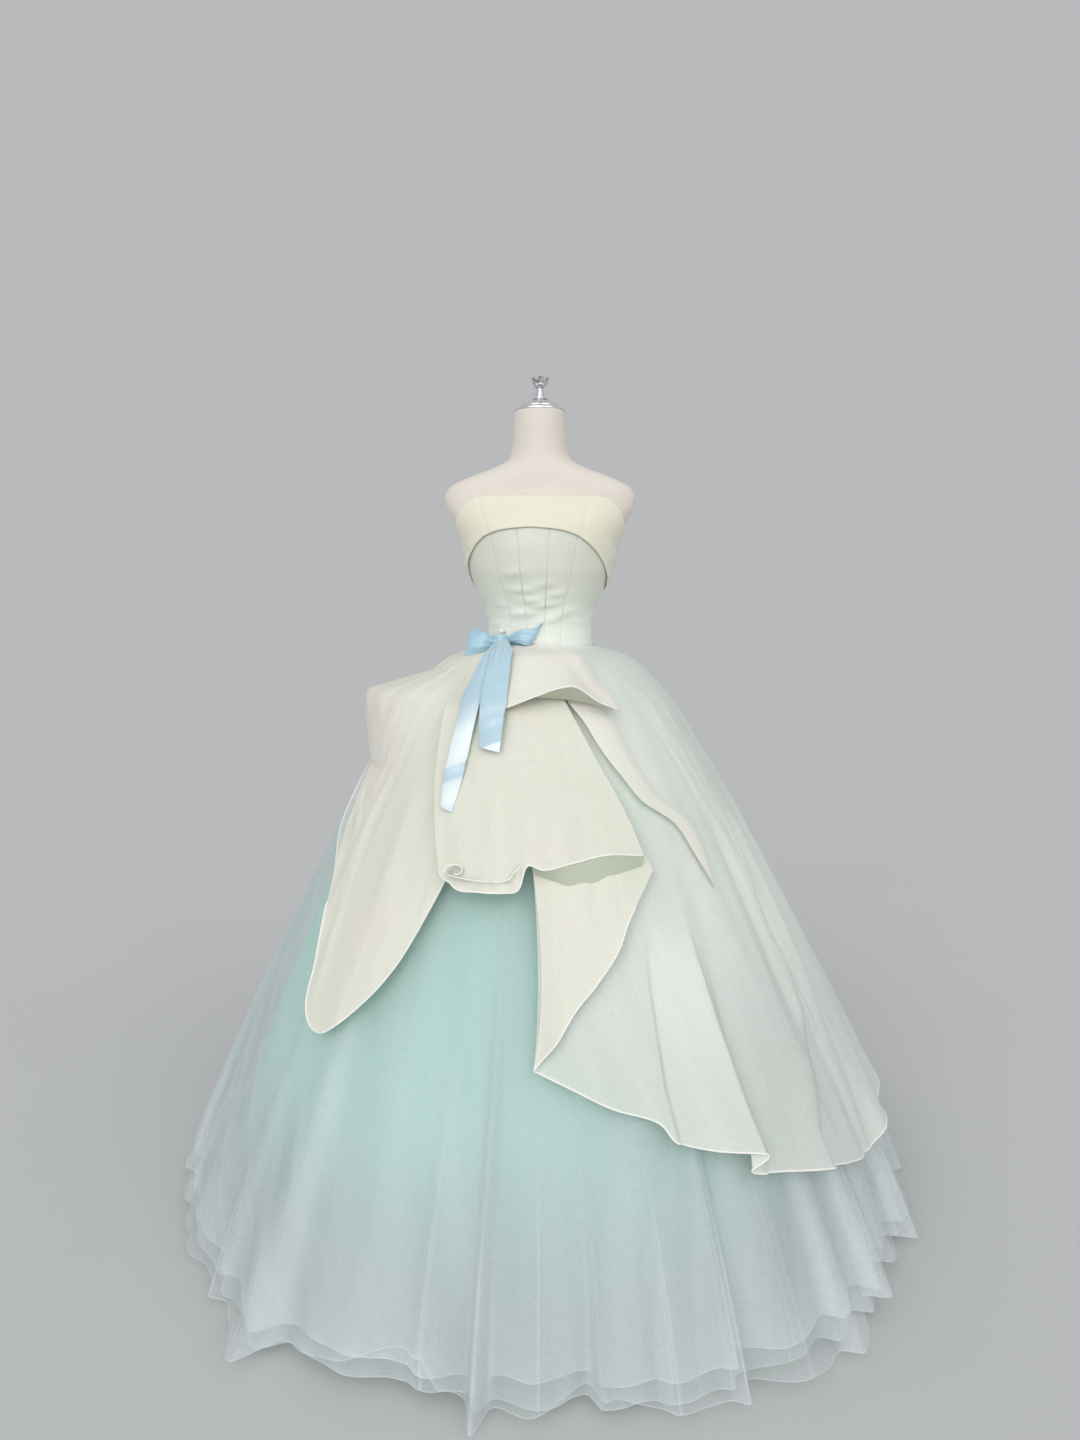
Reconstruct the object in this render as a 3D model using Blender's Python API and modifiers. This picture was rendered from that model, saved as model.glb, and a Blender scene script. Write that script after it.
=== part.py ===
"""Strapless ball gown on a limbless dress form: metres, +Z up, front towards -Y.

The origin is on the floor under the form's pole. A boned bodice with a fold-over cuff sits on the
form. From its waist hang a lining skirt, two gathered tulle layers and the organza overskirt, which
is a long right panel, a back panel, a left petal, a puffed centre petal, a flounce, a turned-back
facing and a cascade. A satin bow with two tails covers the gathers at the left of the waist.

Angles run from 0 at the centre front towards the viewer's right, so +90 is +X and 180 the back.
"""

import math

import bmesh
import bpy
import numpy as np

COLLECTION = "ball_gown_on_dress_form"
SEAM = 0.0003  # gap between pieces that are sewn together

# ---------------------------------------------------------------- dress form
FORM_BOTTOM = 0.82
# height, half width, front reach, back reach
FORM_SECTIONS = np.array([
    (1.525, 0.0510, 0.052, 0.050),
    (1.490, 0.0530, 0.054, 0.053),
    (1.450, 0.0570, 0.057, 0.057),
    (1.430, 0.0640, 0.060, 0.061),
    (1.416, 0.0900, 0.063, 0.066),
    (1.402, 0.1270, 0.065, 0.072),
    (1.388, 0.1620, 0.066, 0.075),
    (1.374, 0.1840, 0.067, 0.077),
    (1.356, 0.1925, 0.071, 0.080),
    (1.336, 0.1890, 0.079, 0.084),
    (1.315, 0.1780, 0.090, 0.088),
    (1.290, 0.1625, 0.103, 0.092),
    (1.255, 0.1500, 0.113, 0.094),
    (1.215, 0.1410, 0.114, 0.092),
    (1.170, 0.1240, 0.104, 0.087),
    (1.130, 0.1065, 0.092, 0.081),
    (1.100, 0.1015, 0.086, 0.078),
    (1.073, 0.1020, 0.085, 0.078),
    (1.045, 0.1065, 0.087, 0.080),
    (1.000, 0.1220, 0.096, 0.092),
    (0.930, 0.1500, 0.112, 0.115),
    (0.860, 0.1660, 0.120, 0.125),
    (0.820, 0.1680, 0.120, 0.126),
])
FORM_COLUMNS = 26
POLE_RADIUS = 0.0125
BASE_RADIUS = 0.165
# radius, height of each turned piece, top to bottom down the outer side
FINIAL_PROFILE = [
    (0.0000, 1.5930), (0.0165, 1.5925), (0.0180, 1.5900), (0.0150, 1.5790), (0.0075, 1.5690),
    (0.0042, 1.5650), (0.0060, 1.5610), (0.0045, 1.5570), (0.0065, 1.5520), (0.0110, 1.5460),
    (0.0120, 1.5428), (0.0000, 1.5428),
]
NECK_CAP_PROFILE = [
    (0.0000, 1.5425), (0.0160, 1.5425), (0.0190, 1.5395), (0.0290, 1.5380), (0.0320, 1.5345),
    (0.0440, 1.5320), (0.0480, 1.5285), (0.0465, 1.5253), (0.0000, 1.5253),
]
BASE_PROFILE = [
    (0.0000, 0.0340), (0.0240, 0.0340), (0.0300, 0.0300), (0.0340, 0.0180), (0.1000, 0.0130),
    (0.1580, 0.0090), (BASE_RADIUS, 0.0060), (BASE_RADIUS, 0.0000), (0.0000, 0.0000),
]
TURNED_STEPS = 20

# -------------------------------------------------------------------- bodice
BODICE_WALL = 0.0020
BODICE_CLEAR = 0.0013  # between the form and the bodice's inner face
BODICE_EASE = 0.0024  # more above the bust, eased in over this height
BODICE_EASE_FROM = 1.265
BODICE_EASE_OVER = 0.030
BODICE_BOTTOM = 1.0465
BODICE_TURN = -5.0  # degrees that the bodice is turned on the form
# seam of the left half, degrees from the centre front at the waist and at the top
BODICE_SEAMS = [
    ("centre_front", 9.7, 12.0),
    ("front", 27.5, 35.0),
    ("side_front", 84.0, 84.0),
    ("side_back", 138.0, 138.0),
    ("back", 180.0, 180.0),
]
BODICE_LEVELS = [1.255, 1.215, 1.170, 1.130, 1.100, 1.073]  # its rows under the bust
BODICE_COLUMN_DEG = 9.0
ZIP_HALF_WIDTH_DEG = 2.2
ZIP_WALL = 0.0012
ZIP_TOP = 1.270
# degrees, top height, lower height, flare of the fold-over cuff; the same on both sides
CUFF_SECTIONS = np.array([
    (0.0, 1.352, 1.290, 0.004),
    (33.0, 1.352, 1.284, 0.006),
    (46.0, 1.351, 1.262, 0.009),
    (61.0, 1.322, 1.225, 0.010),
    (75.0, 1.296, 1.185, 0.008),
    (90.0, 1.286, 1.165, 0.007),
    (115.0, 1.281, 1.166, 0.006),
    (150.0, 1.280, 1.174, 0.005),
    (180.0, 1.280, 1.178, 0.005),
])
CUFF_WALL = 0.0016
CUFF_CLEAR = 0.0010  # between the bodice's face and the cuff's back at the top
CUFF_ROWS = (0.0, 0.14, 0.40, 0.70, 1.0)  # its rows, as shares of its depth
CUFF_FLARE_POWER = 0.7

# --------------------------------------------------------------------- skirt
WAIST = 1.055
HEM = 0.004
# height, half width, front reach, back reach in the valleys between the folds
SKIRT_SECTIONS = np.array([
    (1.0550, 0.1096, 0.0906, 0.0836),
    (1.0500, 0.1250, 0.1100, 0.1040),
    (1.0430, 0.1470, 0.1360, 0.1310),
    (1.0300, 0.1740, 0.1660, 0.1620),
    (1.0100, 0.2010, 0.1940, 0.1900),
    (0.9850, 0.2260, 0.2200, 0.2160),
    (0.9500, 0.2560, 0.2500, 0.2460),
    (0.9000, 0.2900, 0.2880, 0.2830),
    (0.8300, 0.3330, 0.3370, 0.3280),
    (0.7500, 0.3760, 0.3870, 0.3720),
    (0.6500, 0.4250, 0.4460, 0.4210),
    (0.5200, 0.4870, 0.5240, 0.4840),
    (0.3800, 0.5500, 0.6040, 0.5480),
    (0.2500, 0.6030, 0.6740, 0.6010),
    (0.1200, 0.6540, 0.7340, 0.6520),
    (0.0040, 0.6900, 0.7700, 0.6880),
])
SKIRT_ROWS = [1.0550, 1.0430, 1.0150, 0.9400, 0.7600, 0.4500]
# degrees, reach at the hem of each front tulle fold
FRONT_FOLDS = [
    (-90.0, 0.026), (-79.0, 0.024), (-70.0, 0.016), (-61.0, 0.018), (-47.5, 0.035), (-35.0, 0.095),
    (-23.0, 0.060), (-14.0, 0.038), (-7.0, 0.078), (0.0, 0.050), (7.0, 0.060), (14.5, 0.073),
    (22.0, 0.084), (30.0, 0.095), (37.5, 0.106), (45.0, 0.104), (54.0, 0.046), (62.0, 0.064),
    (71.0, 0.036), (80.0, 0.034), (90.0, 0.026),
]
BACK_FOLDS = 16
BACK_FOLD_REACH = 0.036
BACK_FOLD_SWING = 0.012
VALLEY_DEPTH = 0.055  # most that a valley drops below the crests at the hem
FOLD_GROWTH = 1.6  # the folds deepen as this power of the way down
CREST_ROUNDNESS = 1.4  # above 1, the crests are rounder than the valleys
LEVEL_BELOW = 0.85  # layers are moved out level below this height, and squarely off the gathers
LEVEL_OVER = 0.17  # from this much above it
LAYER_PITCH = 0.0015  # between the layers at the waist seam
LAYER_SPREAD = 0.006  # more between them at the hem
TULLE_WALL = 0.0010
# name, place in the stack, share of the folds, columns a fold, hem height
SKIRT_LAYERS = [
    ("lining", 0, 0.00, 1, 0.050),
    ("tulle_under", 1, 0.60, 2, 0.014),
    ("tulle_outer", 2, 1.00, 3, HEM),
]
SKIRT_SEAM = 0.0008  # where folded walls meet, so that their tilted edges stay a seam apart
LAYER_PARTS = [("front", -90.0, 90.0), ("back_right", 90.0, 180.0), ("back_left", 180.0, 270.0)]
LINING_PARTS = [
    ("front", -90.0, 90.0), ("side_right", 90.0, 135.0), ("back_right", 135.0, 180.0),
    ("back_left", 180.0, 225.0), ("side_left", 225.0, 270.0),
]

# ----------------------------------------------------------------- overskirt
ORGANZA_WALL = 0.0012
PANEL_LIFT = 0.0065  # how far a panel of organza rises off what it lies on
PANEL_LIFT_LENGTH = 0.040  # within this much below the waist
PANEL_TOP_DROPS = [0.0, 0.006, 0.014, 0.028, 0.050, 0.090, 0.150]  # its first rows, down from the waist
PANEL_LOWER_ROWS = 4
EDGE_LIFT_POWER = 2.5  # a panel rises towards its free edge as this power of the way down
# degrees, height, spread in degrees, spread in height, how far the organza is puffed out
PUFFS = np.array([
    (-86.0, 0.955, 13.0, 0.065, 0.086),
    (2.0, 0.800, 26.0, 0.130, 0.016),
])
# A rib runs from the waist to a panel's edge, through one point between.
# waist degrees, middle degrees, middle height, edge degrees, edge height, edge stands out
LEFT_PETAL_RIBS = [
    (-92.0, -90.0, 1.000, -89.0, 0.950, 0.000),
    (-86.0, -88.0, 0.970, -87.0, 0.880, 0.000),
    (-80.0, -82.0, 0.930, -76.0, 0.830, 0.006),
    (-75.0, -76.0, 0.910, -70.0, 0.760, 0.008),
    (-70.0, -69.0, 0.880, -62.0, 0.690, 0.008),
    (-65.0, -62.0, 0.850, -54.0, 0.615, 0.010),
    (-60.5, -56.0, 0.810, -48.0, 0.520, 0.012),
    (-56.5, -51.5, 0.780, -44.5, 0.455, 0.014),
    (-52.5, -46.5, 0.770, -38.0, 0.440, 0.014),
    (-48.5, -41.0, 0.790, -32.0, 0.485, 0.014),
    (-44.5, -35.5, 0.820, -26.5, 0.555, 0.014),
    (-41.0, -31.0, 0.860, -22.5, 0.640, 0.010),
    (-37.0, -27.0, 0.900, -19.0, 0.720, 0.006),
]
CENTRE_PETAL_RIBS = [
    (-43.0, -31.5, 0.875, -21.0, 0.700, 0.018),
    (-37.0, -25.0, 0.870, -16.5, 0.677, 0.030),
    (-31.0, -18.5, 0.870, -11.5, 0.677, 0.036),
    (-25.0, -13.0, 0.880, -7.0, 0.679, 0.034),
    (-20.0, -8.5, 0.885, -4.2, 0.682, 0.028),
    (-15.5, -5.5, 0.890, -2.4, 0.716, 0.020),
    (-10.0, -1.5, 0.890, 1.0, 0.712, 0.028),
    (-3.0, 5.0, 0.890, 6.5, 0.722, 0.030),
    (5.0, 11.0, 0.890, 13.5, 0.733, 0.034),
    (12.0, 15.5, 0.890, 21.5, 0.727, 0.028),
]
FLOUNCE_RIBS = [
    (-30.0, -22.0, 1.000, -15.5, 0.938, 0.004),
    (-21.0, -15.0, 1.008, -9.5, 0.944, 0.010),
    (-11.0, -7.0, 1.012, -2.0, 0.951, 0.028),
    (-3.0, 2.0, 1.015, 5.0, 0.957, 0.042),
    (5.0, 9.5, 1.015, 11.5, 0.959, 0.040),
    (13.0, 16.0, 1.008, 18.5, 0.945, 0.026),
    (20.0, 24.0, 0.985, 26.5, 0.937, 0.008),
]
FACING_RIBS = [
    (9.0, 20.0, 0.870, 39.5, 0.652, 0.006),
    (14.5, 24.0, 0.875, 40.5, 0.658, 0.012),
    (20.0, 27.5, 0.880, 41.5, 0.665, 0.012),
    (26.0, 30.5, 0.885, 42.5, 0.674, 0.004),
]
CASCADE_RIBS = [
    (-14.0, -1.5, 0.700, -1.0, 0.432, 0.004),
    (-10.0, 2.5, 0.720, 2.5, 0.472, 0.014),
    (-6.0, 7.0, 0.740, 6.5, 0.522, 0.020),
    (-2.0, 11.5, 0.760, 12.5, 0.580, 0.025),
    (2.0, 15.5, 0.780, 17.0, 0.640, 0.026),
    (5.0, 18.5, 0.790, 24.0, 0.700, 0.016),
]
RIGHT_PANEL_RIBS = [
    (-9.0, -1.5, 0.700, -1.0, 0.428, 0.002),
    (-2.0, 5.0, 0.700, 4.5, 0.408, 0.009),
    (5.0, 10.5, 0.700, 10.5, 0.381, 0.008),
    (12.0, 15.0, 0.700, 16.5, 0.361, 0.004),
    (19.0, 19.0, 0.700, 18.5, 0.338, 0.014),
    (26.0, 24.0, 0.690, 23.5, 0.319, 0.012),
    (33.0, 30.0, 0.680, 30.0, 0.308, 0.034),
    (38.0, 34.0, 0.670, 28.0, 0.285, 0.012),
    (43.0, 38.5, 0.660, 34.5, 0.268, 0.012),
    (50.0, 45.0, 0.650, 40.5, 0.256, 0.024),
    (57.0, 51.0, 0.640, 45.0, 0.238, 0.008),
    (64.0, 58.0, 0.630, 51.5, 0.213, 0.016),
    (71.0, 66.0, 0.620, 57.5, 0.197, 0.006),
    (77.0, 74.0, 0.610, 64.0, 0.208, 0.034),
    (82.0, 80.0, 0.600, 74.0, 0.190, 0.010),
    (87.0, 86.0, 0.600, 83.0, 0.175, 0.030),
]
BACK_HEM = 0.135  # height of the overskirt's hem at the centre back
BACK_RIB_STEP = 9.5  # degrees between the ribs of the plain back
BACK_FLAT = 0.004  # least that its hem stands out
BACK_FLUTE = 0.019  # more on each flute
BACK_MIDDLE = 0.600  # height of the ribs' middles at the right
BACK_LEAN = 6.0  # degrees that the ribs lean back towards the left side
BACK_RISE_POWER = 2.2  # the left hem climbs as this power of the way round
LEFT_BACK_END = 262.0  # its left end, in degrees
LEFT_BACK_HEM = 0.560  # height of its hem there
# name, place in the stack, columns a rib
PANELS = [
    ("overskirt_right", RIGHT_PANEL_RIBS, 0, 1),
    ("petal_left", LEFT_PETAL_RIBS, 0, 1),
    ("cascade", CASCADE_RIBS, 1, 2),
    ("petal_centre", CENTRE_PETAL_RIBS, 2, 2),
    ("facing_right", FACING_RIBS, 1, 1),
    ("flounce", FLOUNCE_RIBS, 3, 1),
]

# ----------------------------------------------------------------------- bow
SATIN_WALL = 0.0010
KNOT_DEG = -44.0
KNOT_HALF_SIZE = (0.0140, 0.0085, 0.0115)  # along the waist, off it, up
KNOT_HEIGHT = 1.0785
PEARL_RADIUS = 0.0055
BALL_SEGMENTS = (12, 8)  # round and from pole to pole
LOOP_CLEAR = 0.0016  # between the bodice and a loop's inner run
LOOP_DEPTH = 0.0075  # half the room between a loop's two runs
LOOP_FLATTEST = 0.30  # share of that room at the loop's ends
LOOP_NEAR_HALF_WIDTH = 0.0095
LOOP_SWEEP = 1.5  # the stand off grows as this power of the way out
LOOP_START_DEG = 7.7  # from the knot's middle to a loop's near end
# name, side, turn round the waist in degrees, stand off, half width and rise at the far end
LOOPS = [
    ("bow_loop_left", -1, 16.0, 0.050, 0.0250, -0.0040),
    ("bow_loop_right", 1, 42.0, 0.003, 0.0200, 0.0135),
]
TAIL_TOP_DEG = 3.5  # the middle of a tail's top, to each side of the knot's middle
TAIL_TOP_HALF_DEG = 2.3
TAIL_DROP = 0.0014  # below the knot
# ribs of the tails, as for the panels
SHORT_TAIL_RIBS = [
    (-46.0, -20.3, 1.020, -17.5, 0.889, 0.004),
    (-43.0, -17.0, 1.020, -14.3, 0.884, 0.007),
    (-40.0, -13.5, 1.020, -11.0, 0.884, 0.004),
]
LONG_TAIL_RIBS = [
    (-52.0, -28.0, 1.020, -24.5, 0.796, 0.004),
    (-49.5, -25.0, 1.020, -22.3, 0.788, 0.007),
    (-47.0, -21.7, 1.020, -20.3, 0.792, 0.003),
]
# name, ribs, place in the stack of panels, side of the knot it hangs from, how far forward there
TAILS = [
    ("bow_tail_long", LONG_TAIL_RIBS, 4, -1, -0.0034),
    ("bow_tail_short", SHORT_TAIL_RIBS, 5, 1, 0.0026),
]


def clear_scene():
    for obj in list(bpy.data.objects):
        bpy.data.objects.remove(obj, do_unlink=True)


def material(name, colour, roughness, metallic=0.0):
    made = bpy.data.materials.new(name)
    made.use_nodes = True
    shader = made.node_tree.nodes["Principled BSDF"]
    shader.inputs["Base Color"].default_value = (*colour, 1.0)
    shader.inputs["Roughness"].default_value = roughness
    shader.inputs["Metallic"].default_value = metallic
    return made


def place(name, mesh, colour):
    """Links a mesh as a named object with its own copy of the material."""
    obj = bpy.data.objects.new(name, mesh)
    own = colour.copy()
    own.name = name
    obj.data.materials.append(own)
    bpy.data.collections[COLLECTION].objects.link(obj)
    return obj


def grid_mesh(name, points, ring=False):
    """A loft: quads between the rows of points[row, column], closed round the columns if a ring."""
    rows, columns = points.shape[:2]
    index = np.arange(rows * columns).reshape(rows, columns)
    if ring:
        index = np.concatenate([index, index[:, :1]], axis=1)
    quads = np.stack([index[:-1, :-1], index[1:, :-1], index[1:, 1:], index[:-1, 1:]], axis=-1)
    mesh = bpy.data.meshes.new(name)
    mesh.from_pydata(points.reshape(-1, 3).tolist(), [], quads.reshape(-1, 4).tolist())
    mesh.shade_smooth()
    return mesh


def cloth(name, points, wall, colour):
    """A wall of cloth about the surface through points[row, column]."""
    obj = place(name, grid_mesh(name, points), colour)
    solid = obj.modifiers.new("wall", "SOLIDIFY")
    solid.thickness = wall
    solid.offset = 0.0
    return obj


def turned(name, profile, colour):
    """A solid of revolution about the vertical axis."""
    mesh = bpy.data.meshes.new(name)
    points = [(radius, 0.0, height) for radius, height in profile]
    mesh.from_pydata(points, [(i, i + 1) for i in range(len(points) - 1)], [])
    obj = place(name, mesh, colour)
    screw = obj.modifiers.new("turn", "SCREW")
    screw.steps = screw.render_steps = TURNED_STEPS
    screw.use_merge_vertices = True
    screw.merge_threshold = 0.0001
    return obj


def read(table, column, at):
    """Reads a column of a table of falling heights with a smooth monotone curve through its rows."""
    heights, values = table[::-1, 0], table[::-1, column]
    at = np.clip(at, heights[0], heights[-1])
    steps = np.diff(heights)
    slopes = np.diff(values) / steps
    tangents = np.concatenate([slopes[:1], np.zeros(len(slopes) - 1), slopes[-1:]])
    before, after = slopes[:-1], slopes[1:]
    turning = before * after <= 0
    share = (2 * steps[1:] + steps[:-1]) / (3 * (steps[1:] + steps[:-1]))
    mean = share / np.where(turning, 1, before) + (1 - share) / np.where(turning, 1, after)
    tangents[1:-1] = np.where(turning, 0, 1 / mean)
    i = np.clip(np.searchsorted(heights, at) - 1, 0, len(steps) - 1)
    s = (at - heights[i]) / steps[i]
    return (
        values[i] * (1 + 2 * s) * (1 - s) ** 2
        + steps[i] * tangents[i] * s * (1 - s) ** 2
        + values[i + 1] * s**2 * (3 - 2 * s)
        + steps[i] * tangents[i + 1] * s**2 * (s - 1)
    )


def section_point(table, degrees, height):
    """The point at this angle on the section at this height: half an ellipse before, half behind."""
    degrees, height = np.broadcast_arrays(np.asarray(degrees, float), np.asarray(height, float))
    angle = np.radians(degrees)
    forward = np.cos(angle)
    reach = np.where(forward > 0, read(table, 2, height), read(table, 3, height))
    across = read(table, 1, height) * np.sin(angle)
    return np.stack([across, -reach * forward, height], axis=-1)


def outward(table, degrees, height):
    """The unit normal there, from differences along both directions."""
    degrees, height = np.broadcast_arrays(np.asarray(degrees, float), np.asarray(height, float))
    low = np.clip(height - 0.0005, table[-1, 0], table[0, 0] - 0.001)
    along = section_point(table, degrees + 0.01, height) - section_point(table, degrees - 0.01, height)
    up = section_point(table, degrees, low + 0.001) - section_point(table, degrees, low)
    normal = np.cross(along, up)
    return normal / np.linalg.norm(normal, axis=-1, keepdims=True)


def form_point(degrees, height, out):
    """A point this far off the dress form."""
    on_form = section_point(FORM_SECTIONS, degrees, height)
    return on_form + outward(FORM_SECTIONS, degrees, height) * np.asarray(out)[..., None]


def ease(x):
    x = np.clip(x, 0.0, 1.0)
    return x * x * (3 - 2 * x)


def skirt_point(degrees, height, out):
    """A point this far off the skirt's valleys: squarely off the gathers, level lower down."""
    on_skirt = section_point(SKIRT_SECTIONS, degrees, height)
    direction = outward(SKIRT_SECTIONS, degrees, height)
    direction[..., 2] *= ease((on_skirt[..., 2] - LEVEL_BELOW) / LEVEL_OVER)
    direction /= np.linalg.norm(direction, axis=-1, keepdims=True)
    return on_skirt + direction * np.asarray(out)[..., None]


def all_folds():
    """Every fold's angle and reach, once round from -90 to 270: a hand-set front, an uneven back."""
    k = np.arange(1, BACK_FOLDS)
    back_degrees = 90 + 180 * k / BACK_FOLDS + 1.8 * np.sin(2.4 * k)
    back_degrees[BACK_FOLDS // 2 - 1] = 180
    back_reach = BACK_FOLD_REACH + BACK_FOLD_SWING * np.sin(1.7 * k + 0.5)
    back = list(zip(back_degrees, back_reach))
    return np.array(FRONT_FOLDS + back + [(270.0, FRONT_FOLDS[0][1])])


def crest_reach(degrees):
    """The straight line from crest to crest, which panels of organza ride on."""
    folds = all_folds()
    return np.interp((np.asarray(degrees, float) + 90) % 360 - 90, folds[:, 0], folds[:, 1])


def fold_reach(degrees):
    """The folds: round crests and sharper valleys, none deeper than the valley depth."""
    folds = all_folds()
    around = (np.asarray(degrees, float) + 90) % 360 - 90
    i = np.clip(np.searchsorted(folds[:, 0], around, side="right") - 1, 0, len(folds) - 2)
    s = (around - folds[i, 0]) / (folds[i + 1, 0] - folds[i, 0])
    crest = crest_reach(degrees)
    dip = 1 - np.abs(np.cos(np.pi * s)) ** CREST_ROUNDNESS
    return crest - np.minimum(crest, VALLEY_DEPTH) * dip


def growth(height):
    """How far the folds have deepened at this height: none at the waist, all at the hem."""
    return (np.clip(WAIST - np.asarray(height, float), 0, None) / WAIST) ** FOLD_GROWTH


def part_seam(points, degrees, gap, start=True, end=True):
    """Pulls the first and last columns in, level and square to the radius, by half a seam's gap."""
    angle = np.radians(degrees + 0 * points[..., 0])
    around = np.stack([np.cos(angle), np.sin(angle), 0 * angle], axis=-1) * gap / 2
    if start:
        points[:, 0] += around[:, 0]
    if end:
        points[:, -1] -= around[:, -1]
    return points


def build_form(skin, metal, crystal):
    heights = FORM_SECTIONS[:, 0]
    degrees = np.arange(FORM_COLUMNS) * 360 / FORM_COLUMNS
    points = section_point(FORM_SECTIONS, degrees[None, :], heights[:, None])
    mesh = grid_mesh("form_torso", points, ring=True)
    shell = bmesh.new()
    shell.from_mesh(mesh)
    bmesh.ops.holes_fill(shell, edges=[e for e in shell.edges if e.is_boundary])
    bmesh.ops.recalc_face_normals(shell, faces=shell.faces)
    shell.to_mesh(mesh)
    shell.free()
    place("form_torso", mesh, skin)
    pole_top, pole_foot = FORM_BOTTOM - SEAM, BASE_PROFILE[0][1] + SEAM
    pole = [(0.0, pole_top), (POLE_RADIUS, pole_top), (POLE_RADIUS, pole_foot), (0.0, pole_foot)]
    turned("form_pole", pole, metal)
    turned("form_base", BASE_PROFILE, metal)
    turned("form_neck_cap", NECK_CAP_PROFILE, metal)
    turned("form_finial", FINIAL_PROFILE, crystal)


def cuff_column(degrees, column):
    """Reads a column of the cuff's table, the same on both sides."""
    around = np.abs((np.asarray(degrees, float) + 180) % 360 - 180)
    return np.interp(around, CUFF_SECTIONS[:, 0], CUFF_SECTIONS[:, column])


def bodice_face(height):
    """How far the bodice's outer face lies off the form."""
    eased = BODICE_EASE * ease((height - BODICE_EASE_FROM) / BODICE_EASE_OVER)
    return BODICE_CLEAR + BODICE_WALL + eased


def bodice_panel(name, seams, columns, satin):
    """One panel between two seams, each given as (degrees at the waist, degrees at the top)."""
    (left_low, left_top), (right_low, right_top) = seams
    across = np.linspace(0, 1, columns + 1)[None, :]
    top = cuff_column(left_top + (right_top - left_top) * across, 1)
    levels = np.array(BODICE_LEVELS + [BODICE_BOTTOM])[:, None] + 0 * across
    heights = np.concatenate([top, (top + BODICE_LEVELS[0]) / 2, levels])
    up = (heights - BODICE_BOTTOM) / (top - BODICE_BOTTOM)
    degrees = (left_low + (left_top - left_low) * up) * (1 - across)
    degrees = degrees + (right_low + (right_top - right_low) * up) * across
    points = form_point(degrees, heights, bodice_face(heights) - BODICE_WALL / 2)
    cloth(name, part_seam(points, degrees, SEAM), BODICE_WALL, satin)


def build_bodice(satin):
    turn = BODICE_TURN
    _, low, top = BODICE_SEAMS[0]
    bodice_panel("bodice_centre_front", ((turn - low, turn - top), (turn + low, turn + top)), 3, satin)
    for inner, outer in zip(BODICE_SEAMS[:-1], BODICE_SEAMS[1:]):
        columns = max(2, round((outer[2] - inner[2]) / BODICE_COLUMN_DEG))
        for side, sign in (("right", 1), ("left", -1)):
            seams = [(turn + sign * seam[1], turn + sign * seam[2]) for seam in (inner, outer)]
            bodice_panel(f"bodice_{outer[0]}_{side}", seams[::sign], columns, satin)
    degrees = 180 + turn + ZIP_HALF_WIDTH_DEG * np.linspace(-1, 1, 3)[None, :]
    heights = np.array([ZIP_TOP] + BODICE_LEVELS)[:, None] + 0 * degrees
    outs = bodice_face(heights) + 2 * SEAM + ZIP_WALL / 2
    cloth("zip_placket", form_point(degrees, heights, outs), ZIP_WALL, satin)


def build_cuff(satin):
    """The band folds over the bodice's top edge and stands off it towards its lower edge."""
    parts = (
        ("front", -84.0, 84.0, 18),
        ("back_right", 84.0, 175.0, 10),
        ("back_left", 175.0, 276.0, 11),
    )
    down = np.array(CUFF_ROWS)[:, None]
    for name, start, end, columns in parts:
        degrees = np.linspace(start, end, columns + 1)[None, :]
        top, low, flare = (cuff_column(degrees, column) for column in (1, 2, 3))
        heights = top - (top - low) * down
        outs = bodice_face(heights) + CUFF_CLEAR + CUFF_WALL / 2 + flare * down**CUFF_FLARE_POWER
        points = form_point(degrees + 0 * heights, heights, outs)
        cloth(f"cuff_{name}", part_seam(points, degrees, SEAM + CUFF_WALL / 2), CUFF_WALL, satin)


def skirt_part(layer, part, colour):
    """A gathered layer between two seams, each on the nearest crest, with columns on the folds."""
    name, stack, share, columns, hem = layer
    part_name, start, end = part
    crests = all_folds()[:, 0]
    first, last = (int(np.abs(crests - seam).argmin()) for seam in (start, end))
    crests = crests[first:last + 1]
    steps = [np.linspace(a, b, columns, endpoint=False) for a, b in zip(crests[:-1], crests[1:])]
    degrees = np.append(np.concatenate(steps), crests[-1])[None, :]
    heights = np.array(SKIRT_ROWS + [hem])[:, None] + 0 * degrees
    grown = growth(heights)
    out = stack * (LAYER_PITCH + LAYER_SPREAD * grown) + share * fold_reach(degrees) * grown
    points = skirt_point(degrees + 0 * heights, heights, out)
    cloth(f"{name}_{part_name}", part_seam(points, degrees, SKIRT_SEAM), TULLE_WALL, colour)


def puffed(degrees, height):
    """How far the organza is puffed out here: a soft bell for each row of the table."""
    out = np.zeros(np.broadcast(degrees, height).shape)
    for centre, level, spread, tall, reach in PUFFS:
        out += reach * np.exp(-(((degrees - centre) / spread) ** 2) - ((height - level) / tall) ** 2)
    return out


def panel_point(degrees, height, stack, extra):
    """A point on organza that is this high in the stack of panels, over the tulle's crests."""
    below = np.clip(WAIST - height, 0, None)
    risen = ease(below / PANEL_LIFT_LENGTH)
    tulle = SKIRT_LAYERS[-1][1] * (LAYER_PITCH + LAYER_SPREAD * growth(height))
    pitch = LAYER_PITCH + PANEL_LIFT * risen
    out = tulle + crest_reach(degrees) * growth(height) + (stack + 1) * pitch + extra
    angle = np.radians(degrees)
    level = np.stack([np.sin(angle), -np.cos(angle), 0 * angle], axis=-1)
    puff = risen * puffed(degrees, height)
    return skirt_point(degrees, height, out) + level * puff[..., None]


def through(first, middle, last, s):
    """A curve from first to last that passes through middle half way: a parabola in s."""
    return first * (1 - s) * (1 - 2 * s) + middle * 4 * s * (1 - s) + last * s * (2 * s - 1)


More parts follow.
